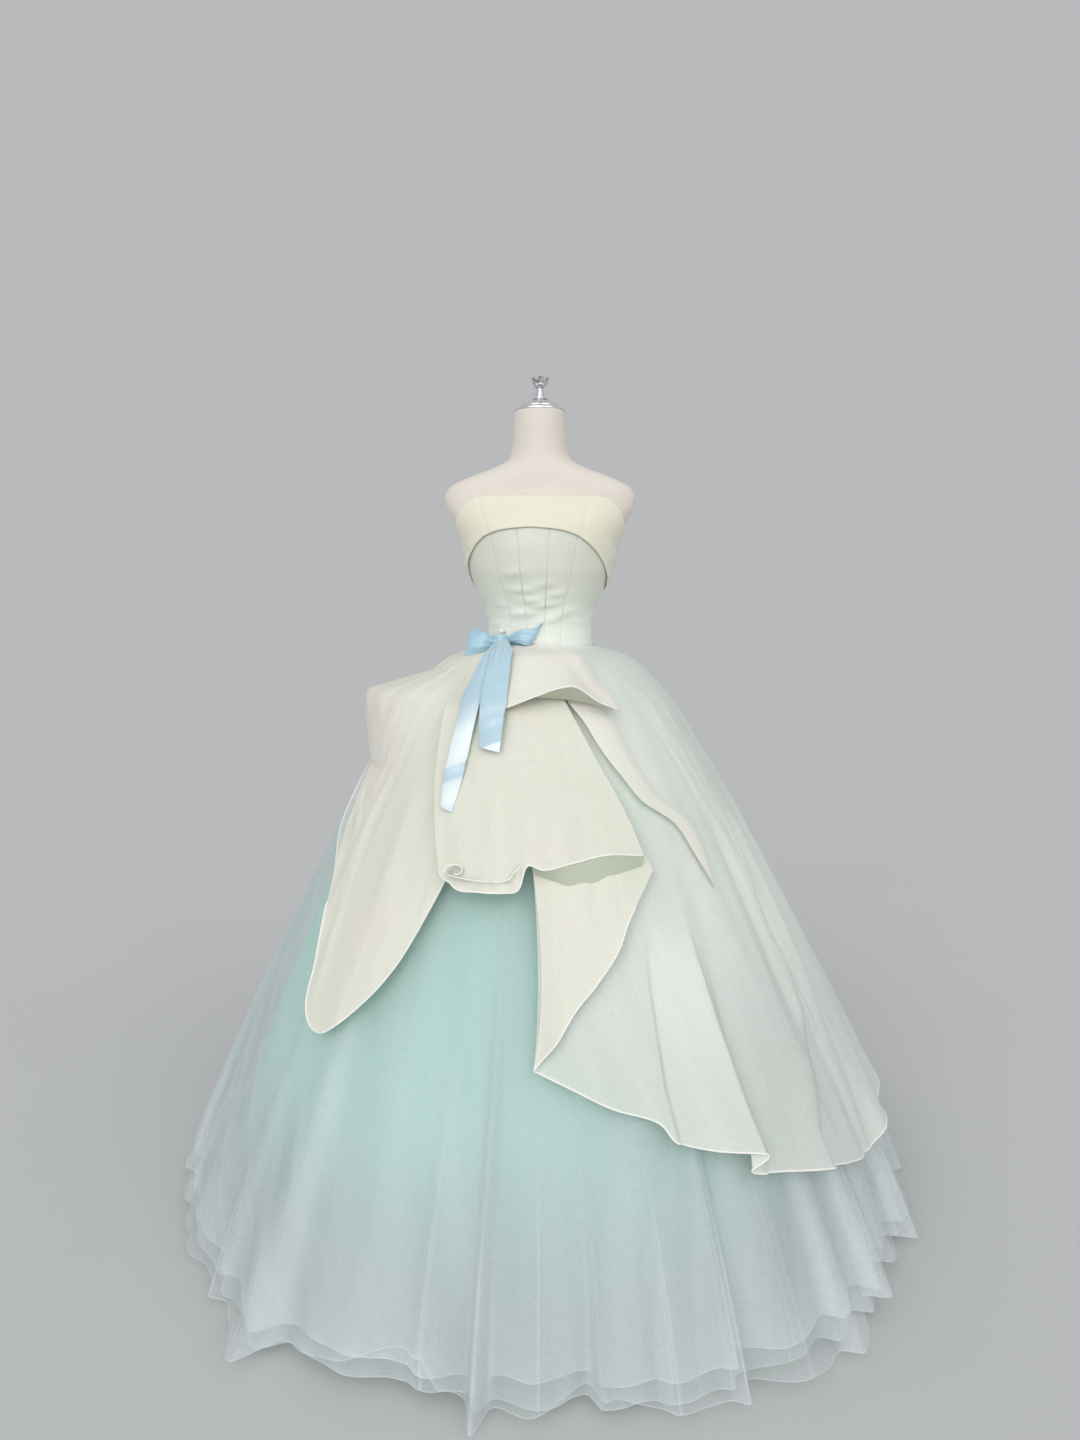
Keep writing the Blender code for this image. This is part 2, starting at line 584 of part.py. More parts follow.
def rib_grid(ribs, columns_each):
    """Angles, heights and edge lifts on a grid of smooth curves across the ribs."""
    ribs = np.array(ribs)
    at = np.linspace(0, len(ribs) - 1, (len(ribs) - 1) * columns_each + 1)
    i = np.clip(at.astype(int), 0, len(ribs) - 2)
    s = (at - i)[:, None]
    before, after = ribs[np.maximum(i - 1, 0)], ribs[np.minimum(i + 2, len(ribs) - 1)]
    here, following = ribs[i], ribs[i + 1]
    columns = 0.5 * (
        2 * here
        + (following - before) * s
        + (2 * before - 5 * here + 4 * following - after) * s**2
        + (3 * here - before - 3 * following + after) * s**3
    )
    waist_deg, middle_deg, middle_height, edge_deg, edge_height, edge_out = columns.T
    length = WAIST - edge_height
    first = np.array(PANEL_TOP_DROPS)[:, None] * np.minimum(1, length / (2 * PANEL_TOP_DROPS[-1]))
    rest = np.linspace(0, 1, PANEL_LOWER_ROWS + 1)[1:, None]
    drops = np.concatenate([first, first[-1] + (length - first[-1]) * rest])
    down = drops / length
    middle_at = np.clip((WAIST - middle_height) / length, 0.10, 0.75)
    bent = down ** (np.log(0.5) / np.log(middle_at))
    degrees = through(waist_deg, middle_deg, edge_deg, bent)
    return degrees, WAIST - drops, edge_out * down**EDGE_LIFT_POWER


def build_panels(organza):
    for name, ribs, stack, columns_each in PANELS:
        degrees, heights, extra = rib_grid(ribs, columns_each)
        points = panel_point(degrees, heights, stack, extra)
        if name == "overskirt_right":
            points = part_seam(points, degrees, SKIRT_SEAM, start=False)
        cloth(name, points, ORGANZA_WALL, organza)


def build_back_panels(organza):
    """The plain back: flutes of one depth, with a hem that climbs to the left side."""
    side_deg, side_hem = RIGHT_PANEL_RIBS[-1][0], RIGHT_PANEL_RIBS[-1][4]
    right_ribs = [RIGHT_PANEL_RIBS[-1]]
    degrees = np.linspace(side_deg, 180.0, round((180.0 - side_deg) / BACK_RIB_STEP) + 1)
    for k, deg in enumerate(degrees[1:], 1):
        hem = side_hem + (BACK_HEM - side_hem) * k / (len(degrees) - 1)
        right_ribs.append((deg, deg, BACK_MIDDLE, deg, hem, BACK_FLAT + BACK_FLUTE * (k % 2)))
    left_ribs = []
    degrees = np.linspace(180.0, LEFT_BACK_END, round((LEFT_BACK_END - 180.0) / BACK_RIB_STEP) + 1)
    for k, deg in enumerate(degrees):
        way = k / (len(degrees) - 1)
        hem = BACK_HEM + (LEFT_BACK_HEM - BACK_HEM) * way**BACK_RISE_POWER
        middle = (WAIST + hem) / 2
        lean = BACK_LEAN * way
        flute = BACK_FLAT + BACK_FLUTE * (k % 2)
        left_ribs.append((deg, deg - lean / 3, middle, deg - lean, hem, flute))
    for name, ribs in (("overskirt_back_right", right_ribs), ("overskirt_back_left", left_ribs)):
        degrees, heights, extra = rib_grid(ribs, 1)
        points = panel_point(degrees, heights, 0, extra)
        points = part_seam(points, degrees, SKIRT_SEAM, end=name.endswith("right"))
        cloth(name, points, ORGANZA_WALL, organza)


def bow_loop(loop, satin):
    """A ribbon that runs out from the knot, folds round at the end and comes back beneath itself."""
    name, side, turn_deg, stand_off, far_half_width, far_rise = loop
    run = np.linspace(0, 2, 11)[:, None]
    across = np.linspace(-1, 1, 4)[None, :]
    along = 1 - np.abs(1 - run)
    half_width = LOOP_NEAR_HALF_WIDTH + (far_half_width - LOOP_NEAR_HALF_WIDTH) * along
    degrees = KNOT_DEG + side * (LOOP_START_DEG + turn_deg * np.sin(along * math.pi / 2)) + 0 * across
    heights = KNOT_HEIGHT + far_rise * along + half_width * across
    fullness = LOOP_FLATTEST + (1 - LOOP_FLATTEST) * np.sin(along * math.pi)
    open_by = LOOP_DEPTH * fullness * np.sign(1.0 - run)
    inner = bodice_face(KNOT_HEIGHT) + LOOP_CLEAR + SATIN_WALL / 2
    out = inner + LOOP_DEPTH + open_by + stand_off * along**LOOP_SWEEP
    points = form_point(degrees, KNOT_HEIGHT, out)
    points[..., 2] = heights
    cloth(name, points, SATIN_WALL, satin)


def ball(name, centre, half_size, turn, colour):
    """A round solid with these half sizes, turned about the vertical."""
    mesh = bpy.data.meshes.new(name)
    shape = bmesh.new()
    around, upward = BALL_SEGMENTS
    bmesh.ops.create_uvsphere(shape, u_segments=around, v_segments=upward, radius=1.0)
    bmesh.ops.scale(shape, vec=half_size, verts=shape.verts)
    shape.to_mesh(mesh)
    shape.free()
    mesh.shade_smooth()
    obj = place(name, mesh, colour)
    obj.location = centre
    obj.rotation_euler = (0, 0, turn)


def build_bow(satin, pearl):
    off = float(bodice_face(KNOT_HEIGHT)) + SEAM + KNOT_HALF_SIZE[1]
    knot = form_point(KNOT_DEG, KNOT_HEIGHT, off)
    ball("bow_knot", knot, KNOT_HALF_SIZE, math.radians(KNOT_DEG), satin)
    bead_height = KNOT_HEIGHT + KNOT_HALF_SIZE[2] + PEARL_RADIUS
    bead = form_point(KNOT_DEG, bead_height, float(bodice_face(bead_height)) + SEAM + PEARL_RADIUS)
    ball("bow_pearl", bead, (PEARL_RADIUS,) * 3, 0.0, pearl)
    for loop in LOOPS:
        bow_loop(loop, satin)
    for name, ribs, stack, side, forward in TAILS:
        degrees, heights, extra = rib_grid(ribs, 2)
        hanging = panel_point(degrees, heights, stack, extra)
        spread = np.linspace(-1, 1, degrees.shape[1])[None, :]
        top_degrees = KNOT_DEG + side * TAIL_TOP_DEG + TAIL_TOP_HALF_DEG * spread
        top_height = KNOT_HEIGHT - KNOT_HALF_SIZE[2] - TAIL_DROP
        top = form_point(top_degrees, top_height, off + forward + 0 * spread)
        cloth(name, np.concatenate([top, hanging]), SATIN_WALL, satin)


def build():
    clear_scene()
    bpy.context.scene.collection.children.link(bpy.data.collections.new(COLLECTION))
    skin = material("form_skin", (0.78, 0.72, 0.64), 0.45)
    metal = material("chrome", (0.80, 0.80, 0.80), 0.12, 1.0)
    crystal = material("crystal", (0.85, 0.87, 0.88), 0.08, 1.0)
    satin = material("mikado", (0.74, 0.74, 0.64), 0.50)
    mint = material("mint_lining", (0.45, 0.78, 0.72), 0.60)
    tulle = material("tulle", (0.72, 0.82, 0.82), 0.70)
    organza = material("organza", (0.76, 0.77, 0.68), 0.55)
    blue = material("blue_satin", (0.38, 0.62, 0.75), 0.30)
    pearl = material("pearl", (0.85, 0.78, 0.72), 0.25)
    build_form(skin, metal, crystal)
    build_bodice(satin)
    build_cuff(satin)
    for part in LINING_PARTS:
        skirt_part(SKIRT_LAYERS[0], part, mint)
    for layer in SKIRT_LAYERS[1:]:
        for part in LAYER_PARTS:
            skirt_part(layer, part, tulle)
    build_panels(organza)
    build_back_panels(organza)
    build_bow(blue, pearl)


build()
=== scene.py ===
"""A strapless ball gown on its limbless dress form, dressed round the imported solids.

Metres, +Z up, the front towards -Y. Angles run from 0 at the centre front towards +X, with 180 at
the centre back. The sections follow the order in which the gown is put together on its form: stand
and torso, bodice, cuff, lining, tulle, overskirt, petals and bow.
"""

import math

import bmesh
import bpy
import numpy as np
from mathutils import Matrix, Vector


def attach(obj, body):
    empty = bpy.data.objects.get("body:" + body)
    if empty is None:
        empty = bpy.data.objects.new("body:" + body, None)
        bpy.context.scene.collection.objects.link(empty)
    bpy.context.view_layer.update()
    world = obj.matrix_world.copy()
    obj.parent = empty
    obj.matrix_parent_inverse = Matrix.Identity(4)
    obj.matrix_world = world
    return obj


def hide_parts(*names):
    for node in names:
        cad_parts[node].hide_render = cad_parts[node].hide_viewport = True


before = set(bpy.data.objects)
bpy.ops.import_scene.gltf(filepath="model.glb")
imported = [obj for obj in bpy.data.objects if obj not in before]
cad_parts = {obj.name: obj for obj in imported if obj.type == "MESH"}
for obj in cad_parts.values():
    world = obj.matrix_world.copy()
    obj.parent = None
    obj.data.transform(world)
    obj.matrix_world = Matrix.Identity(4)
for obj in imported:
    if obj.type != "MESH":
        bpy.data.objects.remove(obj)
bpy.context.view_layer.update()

# ---------------------------------------------------------------- camera, floor and light
# A plain pale floor runs on past the view under an even sky of the same tone. Three wide soft suns
# light the front evenly: a low one nearly straight ahead, and a higher one at either side.
CAMERA_AT = (0.0, -2.22, 1.15)
CAMERA_DOWN_DEG = 6.3
LENS_MM = 27.05
SENSOR_MM = 36.0
FLOOR_HALF = 200.0
FLOOR_COLOUR = (0.612, 0.617, 0.621)
SKY_COLOUR = (0.480, 0.490, 0.500, 1.0)
CLEAR_LAYERS = 32  # layers of sheer cloth that a ray passes
SUN_SPREAD = 0.80  # radians across
# name, side that it shines from, power
SUNS = [
    ("sun_ahead", (-0.5, -2.5, 0.9), 0.92), ("sun_left", (-1.4, -2.1, 2.0), 0.50),
    ("sun_right", (1.6, -2.0, 2.0), 0.56),
]

scene = bpy.context.scene
scene.view_settings.view_transform = "Standard"
scene.cycles.transparent_max_bounces = CLEAR_LAYERS
camera = bpy.data.objects.new("camera", bpy.data.cameras.new("camera"))
camera.location = CAMERA_AT
camera.rotation_euler = (math.radians(90 - CAMERA_DOWN_DEG), 0, 0)
camera.data.sensor_fit = "VERTICAL"
camera.data.sensor_height = SENSOR_MM
camera.data.lens = LENS_MM
scene.collection.objects.link(camera)
scene.camera = camera

for name, place, power in SUNS:
    sun = bpy.data.objects.new(name, bpy.data.lights.new(name, "SUN"))
    sun.data.energy = power
    sun.data.angle = SUN_SPREAD
    sun.location = place
    sun.rotation_euler = (-Vector(place)).to_track_quat("-Z", "Y").to_euler()
    scene.collection.objects.link(sun)

scene.world = bpy.data.worlds.new("studio")
scene.world.use_nodes = True
sky = scene.world.node_tree.nodes["Background"]
sky.inputs["Color"].default_value = SKY_COLOUR
sky.inputs["Strength"].default_value = 1.0


def new_material(name, colour, roughness, **looks):
    """A Principled material, as (material, node tree, shader). Looks are named with _ for a space."""
    made = bpy.data.materials.new(name)
    made.use_nodes = True
    shader = made.node_tree.nodes["Principled BSDF"]
    shader.inputs["Base Color"].default_value = (*colour, 1.0)
    shader.inputs["Roughness"].default_value = roughness
    for look, value in looks.items():
        shader.inputs[look.replace("_", " ")].default_value = value
    return made, made.node_tree, shader


def add_node(tree, kind, **inputs):
    """A node of this kind whose sockets, named with _ for a space, take values or other sockets."""
    made = tree.nodes.new(kind)
    for key, value in inputs.items():
        socket = made.inputs[int(key[1:]) if key[0] == "i" and key[1:].isdigit() else key.replace("_", " ")]
        if isinstance(value, bpy.types.NodeSocket):
            tree.links.new(value, socket)
        else:
            socket.default_value = value
    return made


def mottled(tree, shader, colour, scale, amount, drift=(1.0, 1.0, 1.0)):
    """Colour from the base times (1 - amount) times the drift, to it times (1 + amount) over the drift.

    The share between the two is noise of this scale per metre.
    """
    where = add_node(tree, "ShaderNodeTexCoord").outputs["Object"]
    noise = add_node(tree, "ShaderNodeTexNoise", Vector=where, Scale=scale, Detail=3.0)
    ramp = tree.nodes.new("ShaderNodeValToRGB")
    tree.links.new(noise.outputs["Fac"], ramp.inputs["Fac"])
    low, high = ramp.color_ramp.elements
    low.position, high.position = 0.3, 0.7
    low.color = (*(min(1.0, part * (1 - amount) * by) for part, by in zip(colour, drift)), 1.0)
    high.color = (*(min(1.0, part * (1 + amount) / by) for part, by in zip(colour, drift)), 1.0)
    tree.links.new(ramp.outputs["Color"], shader.inputs["Base Color"])


bpy.ops.mesh.primitive_plane_add(size=2 * FLOOR_HALF)
floor = bpy.context.object
floor.name = "studio_floor"
floor_paint, floor_tree, floor_shader = new_material(
    "floor_paint", FLOOR_COLOUR, 0.85, Specular_IOR_Level=0.0
)
mottled(floor_tree, floor_shader, FLOOR_COLOUR, 1.5, 0.006)
floor.data.materials.append(floor_paint)

# ---------------------------------------------------------------- stand
# A round steel base and a pole, both chromed, carry the form. Each is turned from a profile whose
# corners are eased by the polishing, and all of it stays under the skirt.
POLE_RADIUS = 0.0125
POLE_TOP, POLE_FOOT = 0.8197, 0.0343
BASE_RADIUS = 0.165
# radius, height down the outer side
BASE_PROFILE = [
    (0.0000, 0.0340), (0.0240, 0.0340), (0.0300, 0.0300), (0.0340, 0.0180), (0.1000, 0.0130),
    (0.1580, 0.0090), (BASE_RADIUS, 0.0060), (BASE_RADIUS, 0.0000), (0.0000, 0.0000),
]
NECK_CAP_PROFILE = [
    (0.0000, 1.5482), (0.0150, 1.5482), (0.0185, 1.5455), (0.0200, 1.5425), (0.0340, 1.5400),
    (0.0385, 1.5370), (0.0400, 1.5328), (0.0480, 1.5308), (0.0518, 1.5290), (0.0522, 1.5253),
    (0.0000, 1.5253),
]
STEM_PROFILE = [
    (0.0000, 1.5700), (0.0072, 1.5700), (0.0084, 1.5680), (0.0060, 1.5652), (0.0084, 1.5630),
    (0.0104, 1.5608), (0.0084, 1.5588), (0.0080, 1.5570), (0.0108, 1.5545), (0.0120, 1.5522),
    (0.0110, 1.5500), (0.0160, 1.5490), (0.0164, 1.5484), (0.0000, 1.5484),
]
TURNED_COLUMNS = 64
CORNER_EASE = 0.0012
CORNER_STEPS = 4
CHROME = (0.86, 0.87, 0.89)


def eased_profile(profile, reach, steps):
    """Cuts each corner with a curve: a quadratic Bezier that starts and ends this far from it."""
    corners = np.array(profile, float)
    made = [corners[:1]]
    share = np.linspace(0, 1, steps + 1)[:, None]
    for before, corner, after in zip(corners[:-2], corners[1:-1], corners[2:]):
        back, on = before - corner, after - corner
        start = corner + back * min(0.45, reach / np.linalg.norm(back))
        end = corner + on * min(0.45, reach / np.linalg.norm(on))
        made.append((1 - share) ** 2 * start + 2 * share * (1 - share) * corner + share**2 * end)
    return np.concatenate(made + [corners[-1:]])


def turned_points(profile, columns):
    """A profile of (radius, height) carried once round the vertical axis."""
    angle = np.linspace(0, 2 * np.pi, columns, endpoint=False)[None, :]
    radius, height = (np.array(profile)[:, k][:, None] for k in (0, 1))
    return np.stack([radius * np.sin(angle), -radius * np.cos(angle), height + 0 * angle], axis=-1)


def thread_map(points):
    """A map in metres: how far each point lies along its row from the middle, and down its column."""
    across = np.linalg.norm(np.diff(points, axis=1), axis=2).cumsum(axis=1)
    across = np.concatenate([np.zeros((len(points), 1)), across], axis=1)
    down = np.linalg.norm(np.diff(points, axis=0), axis=2).cumsum(axis=0)
    down = np.concatenate([np.zeros((1, points.shape[1])), down], axis=0)
    return np.stack([across - across[:, -1:] / 2, down], axis=-1)


def make_piece(name, points, coat, nodes=(), wall=0.0, ring=False, values=None, smooth=True):
    """A piece whose quads join the rows of points[row, column], with its threads as a UV map.

    A ring closes round its columns, and a wall gives it thickness inwards from the points.
    """
    rows, columns = points.shape[:2]
    index = np.arange(rows * columns).reshape(rows, columns)
    threads = thread_map(np.concatenate([points, points[:, :1]], axis=1) if ring else points)
    if ring:
        index = np.concatenate([index, index[:, :1]], axis=1)
    wide = index.shape[1]
    spots = np.arange(rows * wide).reshape(rows, wide)

    def corners(grid):
        around = [grid[:-1, :-1], grid[1:, :-1], grid[1:, 1:], grid[:-1, 1:]]
        return np.stack(around, axis=-1).reshape(-1, 4)

    mesh = bpy.data.meshes.new(name)
    mesh.from_pydata(points.reshape(-1, 3).tolist(), [], corners(index).tolist())
    layer = mesh.uv_layers.new(name="threads")
    layer.data.foreach_set("uv", threads.reshape(-1, 2)[corners(spots).ravel()].ravel().astype(np.float32))
    for key, value in (values or {}).items():
        field = mesh.attributes.new(key, "FLOAT", "POINT")
        field.data.foreach_set("value", np.broadcast_to(value, points.shape[:2]).ravel().astype(np.float32))
    if smooth:
        mesh.shade_smooth()
    mesh.materials.append(coat)
    piece = bpy.data.objects.new(name, mesh)
    scene.collection.objects.link(piece)
    if wall:
        solid = piece.modifiers.new("wall", "SOLIDIFY")
        solid.thickness = wall
        solid.offset = -1.0
    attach(piece, "root")
    if nodes:
        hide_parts(*nodes)
    return piece


def close_poles(piece):
    """Merges the points of a turned piece that meet on its axis, and drops the faces that vanish."""
    shell = bmesh.new()
    shell.from_mesh(piece.data)
    bmesh.ops.remove_doubles(shell, verts=shell.verts, dist=1e-6)
    shell.to_mesh(piece.data)
    shell.free()


chrome, chrome_tree, chrome_shader = new_material("chrome", CHROME, 0.08, Metallic=1.0)
smudges = add_node(
    chrome_tree, "ShaderNodeTexNoise",
    Vector=add_node(chrome_tree, "ShaderNodeTexCoord").outputs["Object"], Scale=60.0, Detail=4.0,
)
smudge_range = add_node(
    chrome_tree, "ShaderNodeMapRange", Value=smudges.outputs["Fac"], To_Min=0.14, To_Max=0.30
)
chrome_tree.links.new(smudge_range.outputs["Result"], chrome_shader.inputs["Roughness"])

POLE_PROFILE = [(0.0, POLE_TOP), (POLE_RADIUS, POLE_TOP), (POLE_RADIUS, POLE_FOOT), (0.0, POLE_FOOT)]
for name, profile, node in (
    ("stand_base", BASE_PROFILE, "form_base"),
    ("stand_pole", POLE_PROFILE, "form_pole"),
    ("neck_cap", NECK_CAP_PROFILE, "form_neck_cap"),
    ("finial_stem", STEM_PROFILE, "form_finial"),
):
    turned = turned_points(eased_profile(profile, CORNER_EASE, CORNER_STEPS), TURNED_COLUMNS)
    close_poles(make_piece(name, turned, chrome, [node], ring=True))

# ---------------------------------------------------------------- finial knob
# A goblet of cut crystal stands on the chromed stem. It is wide at the top, with a ground table,
# and flat facets run down to the stem.
KNOB_FACETS = 10
KNOB_PROFILE = [
    (0.0000, 1.5930), (0.0140, 1.5930), (0.0190, 1.5905), (0.0190, 1.5880), (0.0160, 1.5810),
    (0.0110, 1.5742), (0.0066, 1.5702), (0.0000, 1.5702),
]
CRYSTAL, CRYSTAL_PAINTED_GLINTS = (0.90, 0.92, 0.94), (0.72, 0.73, 0.75)
crystal, crystal_tree, crystal_shader = new_material(
    "cut_crystal", CRYSTAL, 0.03, Metallic=0.85, Coat_Weight=0.6
)
# painted glints and painted dark reflections: the base colour is blotched from dark to bright in small
# spots
mottled(crystal_tree, crystal_shader, CRYSTAL_PAINTED_GLINTS, 150.0, 0.85)
knob = make_piece(
    "finial_knob", turned_points(KNOB_PROFILE, KNOB_FACETS), crystal, ring=True, smooth=False
)
close_poles(knob)

# ---------------------------------------------------------------- torso
# The form is a smooth half body with no limbs, cast in fibreglass and covered with a thin ivory
# jersey. Its level sections are half an ellipse before and half behind.
TORSO_COLUMNS = 120
TORSO_ROWS = 120
# height, half width, front reach, back reach
FORM_SECTIONS = np.array([
    (1.525, 0.0510, 0.052, 0.050), (1.490, 0.0530, 0.054, 0.053), (1.450, 0.0570, 0.057, 0.057),
    (1.430, 0.0640, 0.060, 0.061), (1.416, 0.0900, 0.063, 0.066), (1.402, 0.1270, 0.065, 0.072),
    (1.388, 0.1620, 0.066, 0.075), (1.374, 0.1840, 0.067, 0.077), (1.356, 0.1925, 0.071, 0.080),
    (1.336, 0.1890, 0.079, 0.084), (1.315, 0.1780, 0.090, 0.088), (1.290, 0.1625, 0.103, 0.092),
    (1.255, 0.1500, 0.113, 0.094), (1.215, 0.1410, 0.114, 0.092), (1.170, 0.1240, 0.104, 0.087),
    (1.130, 0.1065, 0.092, 0.081), (1.100, 0.1015, 0.086, 0.078), (1.073, 0.1020, 0.085, 0.078),
    (1.045, 0.1065, 0.087, 0.080), (1.000, 0.1220, 0.096, 0.092), (0.930, 0.1500, 0.112, 0.115),
    (0.860, 0.1660, 0.120, 0.125), (0.820, 0.1680, 0.120, 0.126),
])
CAP_SHARES = np.array([0.0, 0.35, 0.70, 0.93, 0.985])  # how far out each ring of a flat end is
SKIN = (0.78, 0.715, 0.635)


def read(table, column, at):
    """Reads a column of a table of falling heights with a smooth monotone cubic through its rows."""
    heights, values = table[::-1, 0], table[::-1, column]
    at = np.clip(at, heights[0], heights[-1])
    steps = np.diff(heights)
    slopes = np.diff(values) / steps
    tangents = np.concatenate([slopes[:1], np.zeros(len(slopes) - 1), slopes[-1:]])
    before, after = slopes[:-1], slopes[1:]
    turning = before * after <= 0
    share = (2 * steps[1:] + steps[:-1]) / (3 * (steps[1:] + steps[:-1]))
    mean = share / np.where(turning, 1, before) + (1 - share) / np.where(turning, 1, after)
    tangents[1:-1] = np.where(turning, 0, 1 / mean)
    i = np.clip(np.searchsorted(heights, at) - 1, 0, len(steps) - 1)
    s = (at - heights[i]) / steps[i]
    return (
        values[i] * (1 + 2 * s) * (1 - s) ** 2
        + steps[i] * tangents[i] * s * (1 - s) ** 2
        + values[i + 1] * s**2 * (3 - 2 * s)
        + steps[i] * tangents[i + 1] * s**2 * (s - 1)
    )


def section_point(table, degrees, height):
    """The point at this angle of the level section: half an ellipse before, half an ellipse behind."""
    degrees, height = np.broadcast_arrays(np.asarray(degrees, float), np.asarray(height, float))
    angle = np.radians(degrees)
    forward = np.cos(angle)
    reach = np.where(forward > 0, read(table, 2, height), read(table, 3, height))
    across = read(table, 1, height) * np.sin(angle)
    return np.stack([across, -reach * forward, height], axis=-1)


def outward(table, degrees, height):
    """The unit normal there: the cross product of small steps along the section and up the side."""
    degrees, height = np.broadcast_arrays(np.asarray(degrees, float), np.asarray(height, float))
    low = np.clip(height - 0.0005, table[-1, 0], table[0, 0] - 0.001)
    along = section_point(table, degrees + 0.01, height) - section_point(table, degrees - 0.01, height)
    up = section_point(table, degrees, low + 0.001) - section_point(table, degrees, low)
    normal = np.cross(along, up)
    return normal / np.linalg.norm(normal, axis=-1, keepdims=True)


def bumped(tree, shader, height, strength, distance):
    """Bumps the surface by a height output, this deep in metres, over any bump that the shader has."""
    below = {"Normal": link.from_socket for link in shader.inputs["Normal"].links}
    bump = add_node(tree, "ShaderNodeBump", Height=height, Strength=strength, Distance=distance, **below)
    tree.links.new(bump.outputs["Normal"], shader.inputs["Normal"])


turn = np.linspace(0, 360, TORSO_COLUMNS, endpoint=False)[None, :]
levels = np.linspace(FORM_SECTIONS[0, 0], FORM_SECTIONS[-1, 0], TORSO_ROWS)[:, None]
side = section_point(FORM_SECTIONS, turn, levels)
flat = np.array([1.0, 1.0, 0.0])
lid = side[:1] * (CAP_SHARES[:, None, None] * flat + (1 - flat))
underside = side[-1:] * (CAP_SHARES[::-1, None, None] * flat + (1 - flat))
skin, skin_tree, skin_shader = new_material("form_jersey", SKIN, 0.55, Sheen_Weight=0.15)
mottled(skin_tree, skin_shader, SKIN, 9.0, 0.025)
skin_where = add_node(skin_tree, "ShaderNodeTexCoord").outputs["Object"]
skin_grain = add_node(skin_tree, "ShaderNodeTexNoise", Vector=skin_where, Scale=900.0, Detail=2.0)
bumped(skin_tree, skin_shader, skin_grain.outputs["Fac"], 0.12, 0.0004)
torso = make_piece(
    "torso", np.concatenate([lid, side, underside]), skin, ["form_torso"], ring=True
)
close_poles(torso)

# ---------------------------------------------------------------- bodice
# Nine shaped panels of heavy mikado satin are stitched edge to edge with a bone along each seam, and
# the back closes with a lapped zip. The cloth creases softly across the waist between the bones.
BODICE_WALL = 0.0020
BODICE_CLEAR = 0.0013
BODICE_EASE, BODICE_EASE_FROM, BODICE_EASE_OVER = 0.0024, 1.265, 0.030
BODICE_BOTTOM = 1.0465
BODICE_TURN = -5.0
# seam of the left half, degrees from the centre front at the waist and at the top
BODICE_SEAMS = [
    ("centre_front", 9.7, 12.0), ("front", 27.5, 35.0), ("side_front", 84.0, 84.0),
    ("side_back", 138.0, 138.0), ("back", 180.0, 180.0),
]
PANEL_ROWS = 84
PANEL_COLUMN_DEG = 1.5
SEAM_DEPTH, SEAM_WIDTH = 0.0007, 0.0011
SEAM_COLUMNS = np.array([0.0006, 0.0014, 0.0024])  # extra columns, this far from a panel's edge
PANEL_CROWN = 0.0005
PANEL_TOP_DROP = 0.0010  # the panels end this far below the cuff's fold
CREASE_SEAM_HOLD = 0.7  # share of a crease that a boned seam holds flat
PAINTED_LIGHT_FROM, PAINTED_LIGHT_OVER = 1.22, 0.15  # the satin is painted paler below this height, over this much: painted light towards the waist
THREAD = 0.0006  # from thread to thread of the satin
SLUB_DEEP, CRUMPLE_DEEP = 0.0006, 0.02  # height of the noise at full strength
# degrees, height, half length in degrees, half width, depth, slant in height per degree
BODICE_CREASES = [
    (-22.0, 1.203, 8.8, 0.0082, 0.0035, 0.00012), (-16.0, 1.171, 12.5, 0.0069, 0.0048, -0.00010),
    (-8.0, 1.152, 11.2, 0.0069, 0.0052, 0.00008), (2.0, 1.181, 11.2, 0.0082, 0.0039, 0.00025),
    (6.0, 1.143, 12.5, 0.0069, 0.0056, 0.00030), (14.0, 1.163, 10.0, 0.0069, 0.0039, 0.00035),
    (-20.0, 1.126, 13.8, 0.0069, 0.0048, 0.00004), (9.0, 1.112, 15.0, 0.0082, 0.0045, 0.00045),
    (26.0, 1.128, 15.0, 0.0082, 0.0035, 0.00030), (-40.0, 1.142, 12.0, 0.006, 0.0018, -0.00020),
    (44.0, 1.108, 14.0, 0.006, 0.0018, -0.00020), (-58.0, 1.104, 14.0, 0.006, 0.0018, 0.00015),
    (-6.0, 1.094, 15.0, 0.0069, 0.0032, 0.00010), (74.0, 1.120, 14.0, 0.007, 0.0018, 0.00010),
    (-86.0, 1.125, 14.0, 0.007, 0.0018, 0.00010), (112.0, 1.112, 16.0, 0.007, 0.0020, -0.00012),
    (146.0, 1.130, 14.0, 0.006, 0.0020, 0.00015), (205.0, 1.128, 15.0, 0.006, 0.0020, -0.00015),
    (240.0, 1.108, 16.0, 0.007, 0.0020, 0.00010), (164.0, 1.100, 12.0, 0.006, 0.0018, 0.00015),
]
# degrees, top height, lower height, flare of the cuff; the same on both sides
CUFF_SECTIONS = np.array([
    (0.0, 1.352, 1.288, 0.0026), (18.0, 1.352, 1.284, 0.0030), (33.0, 1.352, 1.275, 0.0036),
    (42.0, 1.349, 1.264, 0.0036), (50.0, 1.338, 1.252, 0.0032), (64.0, 1.316, 1.226, 0.0024),
    (78.0, 1.296, 1.200, 0.0016), (90.0, 1.286, 1.182, 0.0014), (115.0, 1.281, 1.172, 0.0024),
    (150.0, 1.280, 1.174, 0.0040), (180.0, 1.280, 1.178, 0.0040),
])
CUFF_LOW_TURN = -8.0  # how far the lower edge sits round to the left


def dyed(red, green, blue):
    """The linear colour of an sRGB shade given from 0 to 255: each share to the power 2.2."""
    return tuple((part / 255) ** 2.2 for part in (red, green, blue))


def ease(x):
    """A smooth step from 0 to 1: three x squared less two x cubed."""
    x = np.clip(x, 0.0, 1.0)
    return x * x * (3 - 2 * x)


def bell(x, width):
    """A Gaussian of this half width: e to the power of minus the square of x over it."""
    return np.exp(-((x / width) ** 2))


def between(start, end, share):
    """This share of the way from start to end: start plus the share of their difference."""
    return start + (end - start) * share


